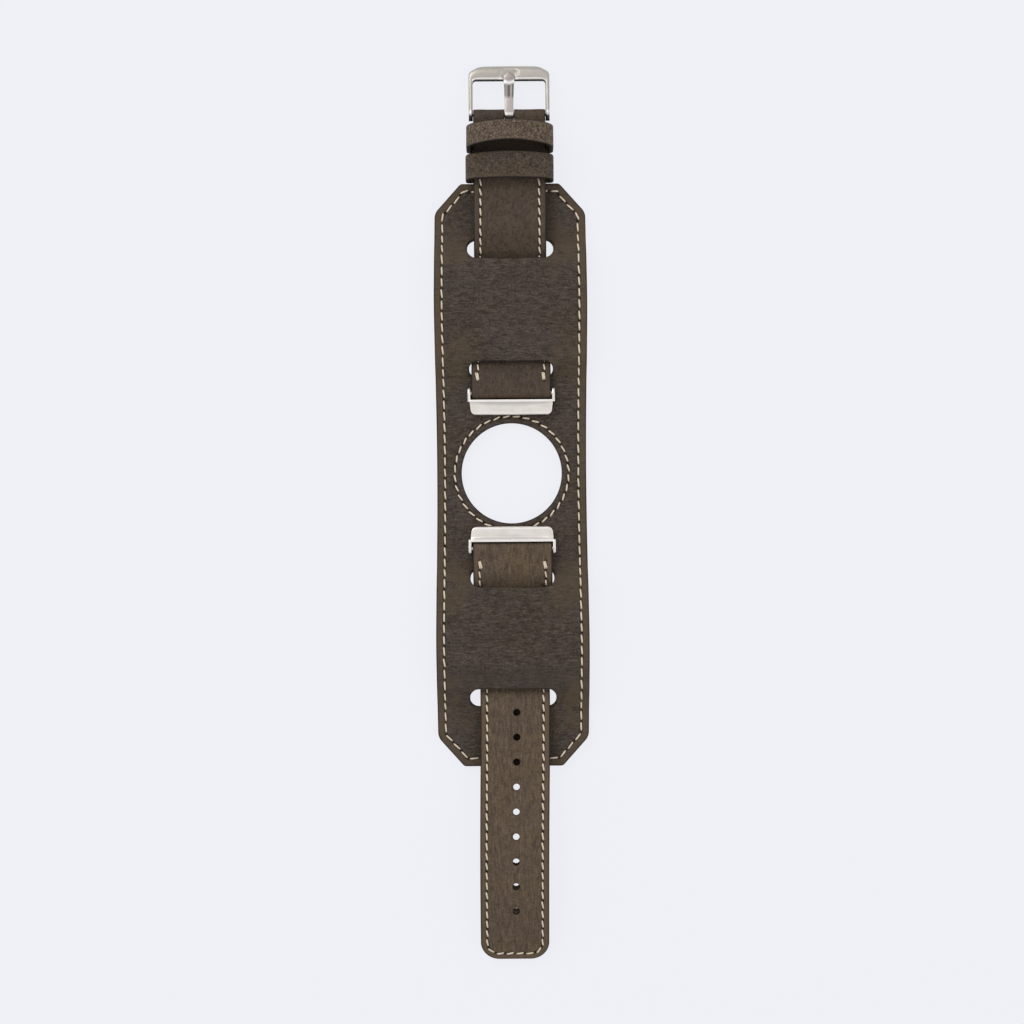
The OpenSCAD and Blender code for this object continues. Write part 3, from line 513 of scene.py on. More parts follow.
# %% Pad leathers
mid_s = s_at(pad_line, 0.0)
pad_ring = outline(both_sides([
    (14.4, s_at(pad_line, -PAD_END) + PAD_SHIFT, 1.4),
    (22.0, s_at(pad_line, -SHOULDER) + PAD_SHIFT, 4), (22.4, s_at(pad_line, -WIDEST), 400),
    (21.6, mid_s, 1200), (22.4, s_at(pad_line, WIDEST), 400),
    (22.0, s_at(pad_line, SHOULDER) + PAD_SHIFT, 4),
    (14.4, s_at(pad_line, PAD_END) + PAD_SHIFT, 1.4)]))


def slot_ring(y, width, far=SLOT_L / 2):
    """A slot's outline round place y: half its length nearer, and far beyond it."""
    s, w = s_at(pad_line, y), width / 2
    low, high = s - SLOT_L / 2, s + far
    return outline([(-w, low, SLOT_R), (w, low, SLOT_R), (w, high, SLOT_R), (-w, high, SLOT_R)])


def pad_layer(name, low, high, far, top, node):
    """One layer of the pad between heights low and high of the flat leather."""
    slots = [slot_ring(-OUTER_SLOT, SLOT_W), slot_ring(-INNER_SLOT, INNER_SLOT_W),
             slot_ring(INNER_SLOT, INNER_SLOT_W, far), slot_ring(OUTER_SLOT, SLOT_W)]
    profiles = [edge_rings(low, high, 3.4, PAD_INSET, top=top),
                *[edge_rings(low, high, 1.3, top=top)] * len(slots),
                edge_rings(low, high, 3.1, WINDOW_INSET, top=top)]
    face = 1 if top else -1
    return panel(name, pad_line, [pad_ring, *slots, window], profiles, "pad", node,
                 [(pad_seam, face), (window_seam, face)])


window = circle(0, mid_s, WINDOW_R, 200)
pad_seam = seam(pad_ring(PAD_INSET), PAD_PITCH, True)
window_seam = seam(window(-WINDOW_INSET), WINDOW_PITCH, True)
pad_top = pad_layer("pad_upper_leather", 0.0, PAD_LAYER, FAR_EDGE, True,
                    "pad_top_leather")
pad_low = pad_layer("pad_skin_lining", -PAD_LAYER, 0.0, SLOT_L / 2, False,
                    "pad_lining_leather")

# %% [markdown]
# ## The strap halves
# Each half is a top leather and a lining. The top leather is wide at the connector, narrows
# under the pad where nobody sees it, and runs on at 21 mm to the buckle or at 20 mm to the tip.

# %% Outlines of the halves
def strap_edge(line, start, end, widths, d=0.0):
    """Corners of a half's right edge, moved in by d, from flat length start to end. widths are
    those past the pad's outer slot and at the end, and the end's corner radius."""
    w, end_w, end_r = widths
    return [(PIN_W / 2 - d, start, 0.5), (PIN_W / 2 - d, s_at(line, INNER_SLOT + 5), 60),
            (w / 2 - d, s_at(line, OUTER_SLOT - 5), 60),
            (end_w / 2 - d, end - d, max(end_r - d, 0.3))]


tip_s, buckle_end = tail_line["s"][-1], buckle_line["s"][-1]
buckle_ring = outline(both_sides(strap_edge(buckle_line, 0, buckle_end, BUCKLE_W)))
tail_ring = outline(both_sides(strap_edge(tail_line, 0, tip_s, TAIL_W)))
# The notch lets the tongue through the fold round the bar
notch_s = (s_at(buckle_line, BAR_Y - 1.6), buckle_end - FOLD + 1.6)
notch = outline([(-1.42, notch_s[0], 1.1), (1.42, notch_s[0], 1.1), (1.42, notch_s[1], 1.1),
                 (-1.42, notch_s[1], 1.1)])
hole_y = TIP_Y - FIRST_HOLE - HOLE_PITCH * np.arange(HOLES)
tail_holes = [circle(HOLE_ASIDE, s_at(tail_line, y), HOLE_R, 28) for y in hole_y]

# %% Seams of the halves
row_end = s_at(buckle_line, BAR_Y - 12.5) + STRAP_INSET
buckle_row = open_line(strap_edge(buckle_line, s_at(buckle_line, UPPER_PIN + ROW_START), row_end,
                                  (BUCKLE_W[0], 20.75, 0), STRAP_INSET))
buckle_seams = [seam(buckle_row * [way, 1], STRAP_PITCH) for way in (1, -1)]
tail_row = open_line(both_sides(strap_edge(tail_line, s_at(tail_line, LOWER_PIN + ROW_START), tip_s,
                                           TAIL_W, STRAP_INSET)))
tail_seam = seam(tail_row, STRAP_PITCH)
print("stitches:", [one["count"] for one in (pad_seam, window_seam, buckle_seams[0], tail_seam)])

# %% Top leathers
strap_top = edge_rings(-HALF, HALF, 3.0, STRAP_INSET)
punched = edge_rings(-HALF, HALF, 0.75, bevel=0.2)
buckle_top = panel("buckle_half_leather", buckle_line, [buckle_ring, notch],
                   [strap_top, edge_rings(-HALF, HALF, 0.6, bevel=0.2)], "buckle_strap",
                   "buckle_strap_top", [(one, 1) for one in buckle_seams])
tail_top = panel("tail_leather", tail_line, [tail_ring, *tail_holes],
                 [strap_top] + [punched] * HOLES, "tail_strap", "tail_strap_top",
                 [(tail_seam, 1)])

# %% Linings
def lining(name, line, pin, end, widths, holes, seams, body, node):
    """The lining from the fold's end to the tip or the bar's fold, half a layer to each side of
    its own middle."""
    start = s_at(line, pin + FOLD + 0.05)
    rings = [outline(both_sides(strap_edge(line, start, end, widths))), *holes]
    profiles = [edge_rings(-HALF, HALF, 3.0, STRAP_INSET, top=False)] \
        + [edge_rings(-HALF, HALF, 0.75, bevel=0.2, top=False)] * len(holes)
    return panel(name, line, rings, profiles, body, node,
                 [(one, -1) for one in seams])


def matched(one, line, other):
    """A seam of the top leather at the same places on the lining's own flat pattern."""
    y = np.interp(one["points"][:, 1], other["s"], other["y"])
    return {**one, "points": np.c_[one["points"][:, 0], s_at(line, y)]}


buckle_low_seams = [matched(one, buckle_lining_line, buckle_line) for one in buckle_seams]
tail_low_seam = matched(tail_seam, tail_lining_line, tail_line)
# Near the tip the lining's holes have slipped, so that the holes there show closed or half open
slipped = np.r_[1.45, 0.95, 0.15, np.zeros(HOLES - 3)]
low_holes = [circle(HOLE_ASIDE, s_at(tail_lining_line, y), HOLE_R, 28) for y in hole_y - slipped]
buckle_low = lining("buckle_half_lining", buckle_lining_line, UPPER_PIN,
                    s_at(buckle_lining_line, BAR_Y - FOLD - 0.05), (BUCKLE_W[0], 20.6, 0.5), [],
                    buckle_low_seams, "buckle_strap", "buckle_strap_lining")
tail_low = lining("tail_lining", tail_lining_line, LOWER_PIN, tail_lining_line["s"][-1], TAIL_W,
                  low_holes, [tail_low_seam], "tail_strap", "tail_strap_lining")

# %% [markdown]
# ## The thread
# The seams are a waxed linen thread, sewn with two needles, which gives slanting stitches. One
# stitch is a short tube that arches between its two needle holes and dips into them. The same
# few faces are repeated for each stitch, with a small seeded change of angle, as by hand.

# %% One stitch and rows of it
def stitch_form(length, width=THREAD_W, height=0.03):
    """A tube of six sides along u, with t from -1 to 1: u = t * length / 2, its middle's height
    falls off as 1 - t^6 and its radius as 1 - 0.35 t^4. Also its faces and |t| of each point."""
    t = np.array([-1, -0.86, -0.5, 0, 0.5, 0.86, 1.0])
    a = np.radians(np.arange(6) * 60 + 30)
    radius = width / 2 * (1 - 0.35 * t ** 4)
    middle = height - 0.62 * np.abs(t) ** 6
    u = np.repeat(t * length / 2, 6)
    v = np.outer(radius, np.cos(a)).ravel()
    w = (middle[:, None] + 0.8 * np.outer(radius, np.sin(a))).ravel()
    faces = sum((band_faces(k * 6, (k + 1) * 6, 6) for k in range(len(t) - 1)), [])
    last = (len(t) - 1) * 6
    faces += [[5, 4, 3, 2, 1, 0], [last + k for k in range(6)]]
    return np.c_[u, v, w], faces, np.repeat(np.abs(t), 6)


# %% Rows of stitches
def sewn(name, line, rows, body, node=None):
    """Rows are (seam, face, level, slant, doubled). Each stitch's middle and direction come from
    the seam, and the tube is turned by the slant in the flat pattern and then bent with it. The
    doubled stitches have a second one beside them, as where a seam is locked."""
    points, faces, towards_end, count = [], [], [], 0
    for one, face, level, slant, doubled in rows:
        k = np.r_[np.arange(one["count"]), np.array(doubled, int)]
        beside = (np.arange(len(k)) >= one["count"])[:, None]
        place, behind, before = (on_line(one["points"], one["s"], (k + 0.5) * one["pitch"] + step)
                                 for step in (0, -0.3, 0.3))
        run = (before - behind) / np.linalg.norm(before - behind, axis=1)[:, None]
        form, one_faces, end = stitch_form(one["pitch"] * STITCH_SHARE * 1.04)
        turn = np.radians(slant + rng.normal(0, 2.2, len(k)))[:, None]
        u = form[:, 0] * rng.normal(1, 0.03, len(k))[:, None]
        v = form[:, 1] + 0.42 * beside
        across = u * np.sin(turn) + v * np.cos(turn)
        ahead = u * np.cos(turn) - v * np.sin(turn)
        x = place[:, :1] + run[:, :1] * ahead - run[:, 1:] * across
        s = place[:, 1:] + run[:, 1:] * ahead + run[:, :1] * across
        h = level + face * (form[:, 2] + 0.12 * beside)
        points.append(bent(line, x.ravel(), s.ravel(), h.ravel()))
        towards_end.append(np.tile(end, len(k)))
        for first in range(count, count + x.size, len(form)):
            faces += [[c + first for c in f[::face]] for f in one_faces]
        count += x.size
    points = np.vstack(points)
    if name.startswith("tail"):
        points[:, :2] *= -1
    obj = piece(name, points, faces, body, {"stitch_end": np.concatenate(towards_end)})
    if node:
        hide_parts(node)
    return obj


threads = [
    sewn("pad_edge_seam", pad_line,
         [(pad_seam, 1, PAD_LAYER, 5, ()), (pad_seam, -1, -PAD_LAYER, -5, ())],
         "pad", "pad_edge_thread"),
    sewn("window_seam", pad_line,
         [(window_seam, 1, PAD_LAYER, 10, ()), (window_seam, -1, -PAD_LAYER, -10, ())],
         "pad", "window_thread"),
    sewn("buckle_half_seams", buckle_line, [(one, 1, HALF, 9, (0,)) for one in buckle_seams],
         "buckle_strap", "buckle_strap_thread"),
    sewn("buckle_half_under_seams", buckle_lining_line,
         [(one, -1, -HALF, -9, ()) for one in buckle_low_seams], "buckle_strap"),
    sewn("tail_seam", tail_line, [(tail_seam, 1, 0.56, 9, (0, tail_seam["count"] - 1))],
         "tail_strap", "tail_strap_thread"),
    sewn("tail_under_seam", tail_lining_line, [(tail_low_seam, -1, -HALF, -9, ())], "tail_strap")]

# %% [markdown]
# ## The keepers
# A keeper is a band of the same leather, closed to a loop under the strap. The free one lies
# flat and slides. The fixed one is sewn in next to the buckle and its top is raised towards the
# pad, so that the tip slides in easily. Both are a round-edged section carried round a loop.

# %% A band carried round a loop
def on_bar(points):
    """From the spring bar's own frame, in which the strap's straight run is level, into the
    shared frame: turned by the line's slope and moved to the bar."""
    x, y, z = np.moveaxis(np.asarray(points, float), -1, 0)
    return np.stack([x, BAR_Y + y * BAR_COS + z * BAR_SIN,
                     BAR_Z - y * BAR_SIN + z * BAR_COS], axis=-1)


def loop_ring(w, floor, top, crown, sole, corner):
    """Points (x, z) round a loop: a floor whose corners have the radius sole, two sides, and a
    top that rises by crown to its middle and has the radius corner at its sides."""
    corners = [(-w / 2, floor, sole), (w / 2, floor, sole), (w / 2, top, corner),
               (0, top + crown, w), (-w / 2, top, corner)]
    p = [np.array(c[:2], float) for c in corners]
    pieces = []
    for i in range(5):
        bend_i = arc(p[i - 1], p[i], p[(i + 1) % 5], corners[i][2], 12)
        after = (i + 1) % 5
        start = arc(p[i], p[after], p[(after + 1) % 5], corners[after][2], 12)[0]
        t = np.linspace(0, 1, 15)[1:-1, None]
        pieces += [bend_i, bend_i[-1] * (1 - t) + start * t]
    return np.vstack(pieces)


def band_section(edge=0.3, count=16):
    """(a, d): a runs 0..1 across the band's width, d runs 0..1 from the outer face to the inner,
    round a rectangle whose corners are rounded by edge."""
    across = np.linspace(0.07, 0.93, count)
    turn = np.linspace(0, math.pi / 2, 5)[1:]
    outer = np.c_[across, np.zeros(count)]
    corner = np.c_[0.93 + 0.07 * np.sin(turn), edge * (1 - np.cos(turn))]
    inner = np.c_[across[::-1], np.ones(count)]
    low = np.c_[corner[::-1, 0], 1 - corner[::-1, 1]]
    left = np.c_[1 - corner[:, 0], 1 - corner[:, 1]]
    left_top = np.c_[1 - corner[::-1, 0], corner[::-1, 1]]
    return np.vstack([outer, corner, low, inner, left, left_top])


# %% Keepers
KEEPER_W, KEEPER_T, TOP_Z, CROWN, RISE = 25.6, 1.25, 5.1, 0.6, 27


def keeper(name, body, node, place):
    """place(a, d) gives the loop (x, y, z) in the bar's frame at that place of the section."""
    section = band_section()
    loops = np.array([place(a, d) for a, d in section])
    rows, size = loops.shape[:2]
    faces = []
    for k in range(rows):
        faces += band_faces(k * size, (k + 1) % rows * size, size)
    edge = np.repeat(np.minimum(section[:, 0], 1 - section[:, 0]) * 8.0, size)
    obj = piece(name, on_bar(loops.reshape(-1, 3)), faces, body,
                {"edge": edge, "rim": np.full(len(edge), AWAY)})
    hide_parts(node)
    return obj


def bow(ring, most):
    """A band's middle stands nearer the buckle than its sides, by most * (1 - (x / 12.8)^2)."""
    return most * (1 - (2 * ring[:, 0] / KEEPER_W) ** 2) * np.clip(ring[:, 1] / 2.5, 0, 1)


def free_place(a, d):
    """The free keeper, 7.45 mm broad and level, with a hump of 0.12 sin(pi a) across it."""
    hump = 0.12 * math.sin(math.pi * a)
    ring = loop_ring(KEEPER_W - 2 * KEEPER_T * d, -2.45 + d, TOP_Z - KEEPER_T * d + hump, CROWN,
                     1.4 - 1.0 * d, 3.2 - KEEPER_T * d)
    return np.c_[ring[:, 0], -12.25 - 7.45 * a + bow(ring, 0.95 - 0.55 * a), ring[:, 1]]


def fixed_place(a, d):
    """The fixed keeper, 7.35 mm broad, whose top climbs towards the pad by tan(27 degrees)."""
    y = -3.6 - 7.35 * a
    slope = math.radians(RISE)
    top = TOP_Z - 0.6 - (y + 1.6) * math.tan(slope) - KEEPER_T * d / math.cos(slope)
    ring = loop_ring(KEEPER_W - 0.3 - 2 * KEEPER_T * d, -2.2 + d, top, CROWN,
                     1.4 - 1.0 * d, 3.2 - KEEPER_T * d)
    return np.c_[ring[:, 0] + 0.12, y + bow(ring, 1.45 + 0.6 * a), ring[:, 1]]


free_keeper = keeper("free_keeper_band", "free_keeper", "free_keeper",
                     free_place)
fixed_keeper = keeper("fixed_keeper_band", "buckle_strap", "fixed_keeper",
                      fixed_place)

# %% [markdown]
# ## The buckle
# The buckle is a steel frame, turned up from one piece: two thin legs with round ends and a
# broad front bar, domed so that the leather slides over it. It is a rounded section carried
# along a U, whose inner and outer lines are drawn apart, so the bar is broad and the legs thin.

# %% Sections and lofts
def superellipse(count, power):
    """(across, up) round a rounded square: sign(cos) |cos|^(2 / power) and the same of sin."""
    a = np.linspace(0, 2 * math.pi, count, endpoint=False)
    return tuple(np.sign(f) * np.abs(f) ** (2 / power) for f in (np.cos(a), np.sin(a)))


def lofted(sections):
    """Quads between sections of equal size, and a flat cap on each end."""
    rows, size = sections.shape[:2]
    faces = sum((band_faces(k * size, (k + 1) * size, size) for k in range(rows - 1)), [])
    faces += [list(range(size))[::-1], list(range((rows - 1) * size, rows * size))]
    points = sections.reshape(-1, 3)
    return points, outward(points, faces)


def spread(points, count):
    """count points at equal lengths along a line."""
    s = lengths(points)
    return on_line(points, s, np.linspace(0, s[-1], count))


def between(value, start, end):
    """0 before start, 1 past end, and straight between them."""
    return np.clip((value - start) / (end - start), 0, 1)


def bell(value, middle, width):
    """exp(-((value - middle) / width)^2): 1 at the middle and falling off to both sides."""
    return np.exp(-((value - middle) / width) ** 2)


# %% Buckle frame
# The legs' inner and outer faces and the front bar's, in the spring bar's frame
LEG_IN, LEG_OUT, LEG_END, FRONT_IN, FRONT_OUT = 10.6, 11.8, 8.6, 10.05, 14.5
end_turn = np.linspace(0, math.pi / 2, 7)
leg_y = np.r_[-1.7 * np.cos(end_turn)[:-1], np.linspace(0, LEG_END, 12)]
front = np.linspace(0, 1, 26)
inner_corner = np.array([(LEG_IN, 0), (LEG_IN, FRONT_IN), (0, FRONT_IN)])
outer_corner = np.array([(LEG_OUT, 0), (LEG_OUT, 12.6), (8.6, 14.45), (0, FRONT_OUT)])
inner_turn = spread(np.vstack([(LEG_IN, LEG_END), arc(*inner_corner, 0.9, 10),
                               (8.9, FRONT_IN)]), 14)
outer_turn = spread(np.vstack([(LEG_OUT, LEG_END), arc(*outer_corner[:3], 1.5, 8),
                               arc(*outer_corner[1:], 4.5, 8), (6.4, FRONT_OUT)]), 14)
inner_half = np.vstack([np.c_[np.full(len(leg_y), LEG_IN), leg_y], inner_turn[1:],
                        np.c_[8.9 * (1 - front), np.full(26, FRONT_IN)][1:]])
outer_half = np.vstack([np.c_[np.full(len(leg_y), LEG_OUT), leg_y], outer_turn[1:],
                        np.c_[6.4 * (1 - front), FRONT_OUT + 0.05 * front][1:]])
inner_u, outer_u = (np.vstack([half, half[-2::-1] * [-1, 1]]) for half in (inner_half, outer_half))
# Half its height: 1.7 in the legs, with round ends, easing to 1.25 in the bar, whose front is low
along_y = (inner_u[:, 1] + outer_u[:, 1]) / 2
leg_end = np.sqrt(np.clip(1 - (np.minimum(along_y, 0) / 1.72) ** 2, 0.0, 1))
to_bar = between(along_y, 2, 11)
to_bar = to_bar * to_bar * (3 - 2 * to_bar)
half_h = 1.7 * leg_end * (1 - to_bar) + 1.25 * to_bar
across, up = superellipse(28, 2.7)
plan = (inner_u + outer_u)[:, None] / 2 + (outer_u - inner_u)[:, None] / 2 * across[:, None]
height = (0.03 * to_bar)[:, None] + (half_h + 0.03 * to_bar)[:, None] * up
ahead = plan[..., 1]
height -= between(ahead, 13.0, 14.6) ** 2 * 0.55 * (height > 0)
frame_points, frame_faces = lofted(np.concatenate([plan, height[..., None]], axis=-1))
# The seat that the tongue's head is pressed into
x, y, z = frame_points.T
seat = between(-np.abs(x), -3.4, -1.5) * between(-y, -13.4, -12.8)
seat = seat * seat * (3 - 2 * seat)
frame_points[:, 2] = z - seat * np.maximum(z - 0.82, 0)

# %% The frame's shade and shine
# Painted shade and highlights: the front bar's inner wall dark with a bright line beside it, the
# legs' round ends dark with a bright band beside them, and the seat's right wall shaded to dim its
# glint
inner_face = np.where(up > -0.6, -across, 0)
on_front = between(along_y, LEG_END, 10.2)[:, None]
seat_wall_shade = 1.1 * seat * (1 - seat) * (frame_points[:, 2] > 0.5) * (x > 1.2)
frame_shade = np.maximum(between(inner_face, 0.80, 0.90) * on_front,
                         0.9 * between(-ahead, -0.1, 0.4))
frame_shine = np.maximum(bell(inner_face, 0.70, 0.09) * on_front, bell(ahead, 0.55, 0.4))
buckle = piece("buckle_frame_steel", on_bar(frame_points), frame_faces, "buckle",
               {"shade": np.maximum(frame_shade.ravel(), seat_wall_shade), "shine": frame_shine.ravel()})
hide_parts("buckle_frame")

# %% [markdown]
# ## The tongue
# The tongue is a steel strip bent round the spring bar. It is narrow at the eye, hollow along
# its middle from the press, and ends in a round head that rests in the seat of the front bar.

# %% Tongue
EYE_R, EYE_POINTS, HEAD_Y = 1.13, 30, 11.0
eye_a = np.radians(np.linspace(-165, 90, EYE_POINTS))
run_y = np.linspace(0.4, 12.45, 34)
run_z = EYE_R + 0.26 * np.sin(math.pi * np.minimum(run_y / 9, 1))
middle = np.r_[EYE_R * np.c_[-np.cos(eye_a), np.sin(eye_a)], np.c_[run_y, run_z]]
step = np.gradient(middle, axis=0)
step /= np.linalg.norm(step, axis=1)[:, None]
normal = np.c_[-step[:, 1], step[:, 0]]
normal[:EYE_POINTS] = middle[:EYE_POINTS] / EYE_R
in_run = np.arange(len(middle)) >= EYE_POINTS
y_along = np.where(in_run, middle[:, 0], 0)
# Half its width and thickness: a head of radius 1.5, and a hollow 0.15 deep in the upper part
head = bell(y_along, HEAD_Y, 1.25)
tip = np.sqrt(np.clip(1 - (np.maximum(y_along - HEAD_Y, 0) / 1.5) ** 2, 0, 1))
eye_w = 0.17 * between(-y_along, -2.4, -1.0)
half_w = (1.15 + 0.03 * np.clip(y_along, 0, 9) + 0.35 * head + eye_w) * tip
thick = 0.31 + 0.2 * head * tip
hollow = (between(y_along, 4.6, 5.4) * between(-y_along, -9.4, -8.6))[:, None]
across, up = superellipse(24, 8 / 3)
lift = thick[:, None] * up - 0.15 * hollow * bell(across, 0, 0.5) * (up > 0.1)
tongue_points, tongue_faces = lofted(np.stack([
    half_w[:, None] * across, middle[:, :1] + lift * normal[:, :1],
    middle[:, 1:] + lift * normal[:, 1:]], axis=-1))

# %% The tongue's shade and shine
down = middle[:, :1]
on_top = (np.arange(len(middle)) > 20)[:, None]
in_loop = between(-down, 0.12, 0.42) * (np.arange(len(middle)) < EYE_POINTS + 2)[:, None]
flank = between(np.abs(across), 0.56, 0.68) * between(down, 4.6, 5.4) * (down < 9.0)
tongue_shade, tongue_shine = np.zeros((2, *lift.shape))
for amount in (0.95 * hollow * bell(across, 0, 0.42) * (up > 0.1), 0.8 * flank, 0.95 * in_loop,
               0.2 * (down > 10.0)):
    tongue_shade = np.maximum(tongue_shade, amount)
for amount in (bell(down - 0.6 * np.abs(across), 9.25, 0.4) * (up > -0.2),
               bell(down, 0.22, 0.3) * on_top):
    tongue_shine = np.maximum(tongue_shine, amount)
tongue = piece("tongue_steel", on_bar(tongue_points), tongue_faces, "tongue",
               {"shade": tongue_shade.ravel(), "shine": tongue_shine.ravel()})
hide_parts("buckle_tongue")

# %% [markdown]
# ## The connectors
# A connector is milled from a steel bar. Its rail slides into the watch, a thin lip stands up
# over the leather's loop, and the rail's top is swept down behind the lip. Two ears hold the
# pin. The side view is carried along X, and near each end its front draws back round a corner.

# %% Rail and ears
RAIL_HALF, RAIL_CORNER = 12.1, 1.3


def rail():
    """The rail's points, faces, shade and shine round a pin at 0. Its places along x are closest
    at the ends: 12.1 (1 - (1 - |t|)^1.6). Its front corners are quarter circles, its last 0.2 mm
    draw in to a centre to round the end, and the front is a little narrower than the lip."""
    view = outline([(-6.35, -1.45, 0.7), (-6.3, 1.02, 0.6), (-3.35, 0.98, 1.2), (-2.45, 1.42, 0.2),
                    (-1.85, 1.4, 0.2), (-1.85, -1.45, 0.18)], 0.14)(0)
    t = np.linspace(-1, 1, 61)
    x = (RAIL_HALF * np.sign(t) * (1 - (1 - np.abs(t)) ** 1.6))[:, None]
    into = np.clip(RAIL_HALF - np.abs(x), 0, RAIL_CORNER)
    back_off = RAIL_CORNER - np.sqrt(np.clip(RAIL_CORNER ** 2 - (RAIL_CORNER - into) ** 2, 0, None))
    ended = 1 - np.sqrt(np.clip(1 - (1 - between(into, 0, 0.2)) ** 2, 0, 1))
    forward = (view[:, 0] + 1.85) / -4.5
    y = view[:, 0] + back_off * forward
    y = y + (-4.1 - y) * ended * 0.06
    z = view[:, 1] + (-0.1 - view[:, 1]) * ended * 0.14
    points, faces = lofted(np.stack([x * (1 - 0.024 * between(forward, 0.3, 1)), y, z], axis=-1))
    depth, on_top = -2.5 - view[:, 0], view[:, 1] > 0.5
    arch = np.clip(1 - (x / 11.8) ** 2, 0, 1)
    shade = 0.8 * np.clip(1 - depth / (0.25 + 1.5 * arch), 0, 1) * (depth > 0.05) * on_top
    shine = np.maximum(0.45 * ((depth < 0.05) & (view[:, 1] > 1.2)), 0.4 * bell(depth, 3.35, 0.3))
    return points, faces, shade.ravel(), np.broadcast_to(shine, shade.shape).ravel()


def ear(sign):
    """A plate with rounded corners round the pin's end: its outline, moved in at both faces."""
    ring = outline([(-2.6, -1.3, 0.2), (0, -1.6, 1.2), (1.6, -1.1, 1.1), (1.6, 1.1, 1.1),
                    (0, 1.6, 1.2), (-2.6, 1.35, 0.2)], 0.2)
    levels = [(11.86, 0.22), (11.9, 0.08), (12.0, 0), (12.5, 0), (12.66, 0.08), (12.72, 0.24)]
    points, faces = lofted(np.array([np.c_[np.full(len(ring(0)), sign * x), ring(d)]
                                     for x, d in levels]))
    return points, faces, np.full(len(points), 0.12), 0.05 * (points[:, 2] > 0.6)


# %% Connectors
def connector(name, body, node, way, pin_y):
    """The rail and its ears, put round their pin; way = -1 turns them end for end."""
    parts = [rail(), ear(-1), ear(1)]
    starts = np.cumsum([0] + [len(part[0]) for part in parts])
    faces = [[i + start for i in f] for start, part in zip(starts, parts) for f in part[1]]
    points, shade, shine = (np.concatenate([part[k] for part in parts]) for k in (0, 2, 3))
    obj = piece(name, points * [way, way, 1] + [0, pin_y, PIN_Z], faces, body,
                {"shade": shade, "shine": shine}, smooth=50)
    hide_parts(node)
    return obj


upper_connector = connector("upper_connector_steel", "upper_connector", "upper_connector_body",
                            1, UPPER_PIN)
lower_connector = connector("lower_connector_steel", "lower_connector", "lower_connector_body",
                            -1, -LOWER_PIN)

# %% [markdown]
# ## Materials
# Each finish is one node tree. A small helper adds a node, sets its inputs and makes its links,
# and one function turns a colour that is written as on a paint card (sRGB hex) into linear light.
# The places that the patterns are measured in are millimetres, so that a pattern's scale is one
# over its size.

# %% Helpers for node trees
SMOOTH = {"interpolation_type": "SMOOTHSTEP"}


def linear(colour):
    """sRGB hex to linear: c / 12.92 below 0.04045, else ((c + 0.055) / 1.055) ^ 2.4."""
    c = np.array([int(colour[i:i + 2], 16) for i in (1, 3, 5)]) / 255
    return (*np.where(c <= 0.04045, c / 12.92, ((c + 0.055) / 1.055) ** 2.4).tolist(), 1.0)


def feed(tree, node, **inputs):
    """Sets inputs, each named with _ for its spaces, or by its number after i where a name is
    shared. An input takes a number, a hex colour, a socket, or a node for its first output."""
    for key, value in inputs.items():
        socket = node.inputs[int(key[1:]) if key[1:].isdigit() else key.replace("_", " ")]
        if isinstance(value, bpy.types.Node):
            value = next(output for output in value.outputs if output.enabled)
        if isinstance(value, bpy.types.NodeSocket):
            tree.links.new(value, socket)
        else:
            socket.default_value = linear(value) if isinstance(value, str) else value
    return node


def add(tree, kind, settings=None, **inputs):
    """Adds a node of this kind, sets its properties and feeds its inputs."""
    node = tree.nodes.new("ShaderNode" + kind)
    for key, value in (settings or {}).items():
        setattr(node, key, value)
    return feed(tree, node, **inputs)


def material(name, objects, **inputs):
    """A new material with a Principled surface, put on these objects. It gives the tree, the
    surface and the object's own coordinates in millimetres."""
    made = bpy.data.materials.new(name)
    made.use_nodes = True
    tree = made.node_tree
    tree.nodes.clear()
    surface = add(tree, "BsdfPrincipled", **inputs)
    add(tree, "OutputMaterial", Surface=surface)
    for obj in objects:
        obj.data.materials.clear()
        obj.data.materials.append(made)
    print("material:", name, "on", len(objects), "pieces")
    place = add(tree, "TexCoord").outputs["Object"]
    return tree, surface, add(tree, "Mapping", Vector=place, Scale=(1000, 1000, 1000))


# %% Laying colours over each other
def laid_over(tree, under, over, pattern, low, high, at_low=0.0, at_high=1.0):
    """One colour over another, whose share goes from at_low, where the pattern is low, to
    at_high, where it is high, by 3 t^2 - 2 t^3."""
    share = add(tree, "MapRange", SMOOTH, Value=pattern, From_Min=low, From_Max=high,
                To_Min=at_low, To_Max=at_high)
    return add(tree, "Mix", {"data_type": "RGBA"}, i0=share, i6=under, i7=over)


def away_from(tree, value, *places):
    """How far value is from the nearest of these places: the least |value - place|."""
    nearest = 1000.0
    for place in places:
        apart = add(tree, "Math", {"operation": "SUBTRACT"}, i0=value, i1=place)
        apart = add(tree, "Math", {"operation": "ABSOLUTE"}, i0=apart)
        nearest = add(tree, "Math", {"operation": "MINIMUM"}, i0=nearest, i1=apart)
    return nearest


# %% [markdown]
# The strap's leather is a waxed pull-up cowhide, drum-dyed brown and brushed. It has soft
# patches a centimetre across where the wax has moved, a fine pebble of about 0.4 mm, short
# wrinkles where it has been bent, and an edge band that the bevelling has made lighter. A noise
# of each size makes each of these, and the cut edge, known from the ring it lies on, is darker.

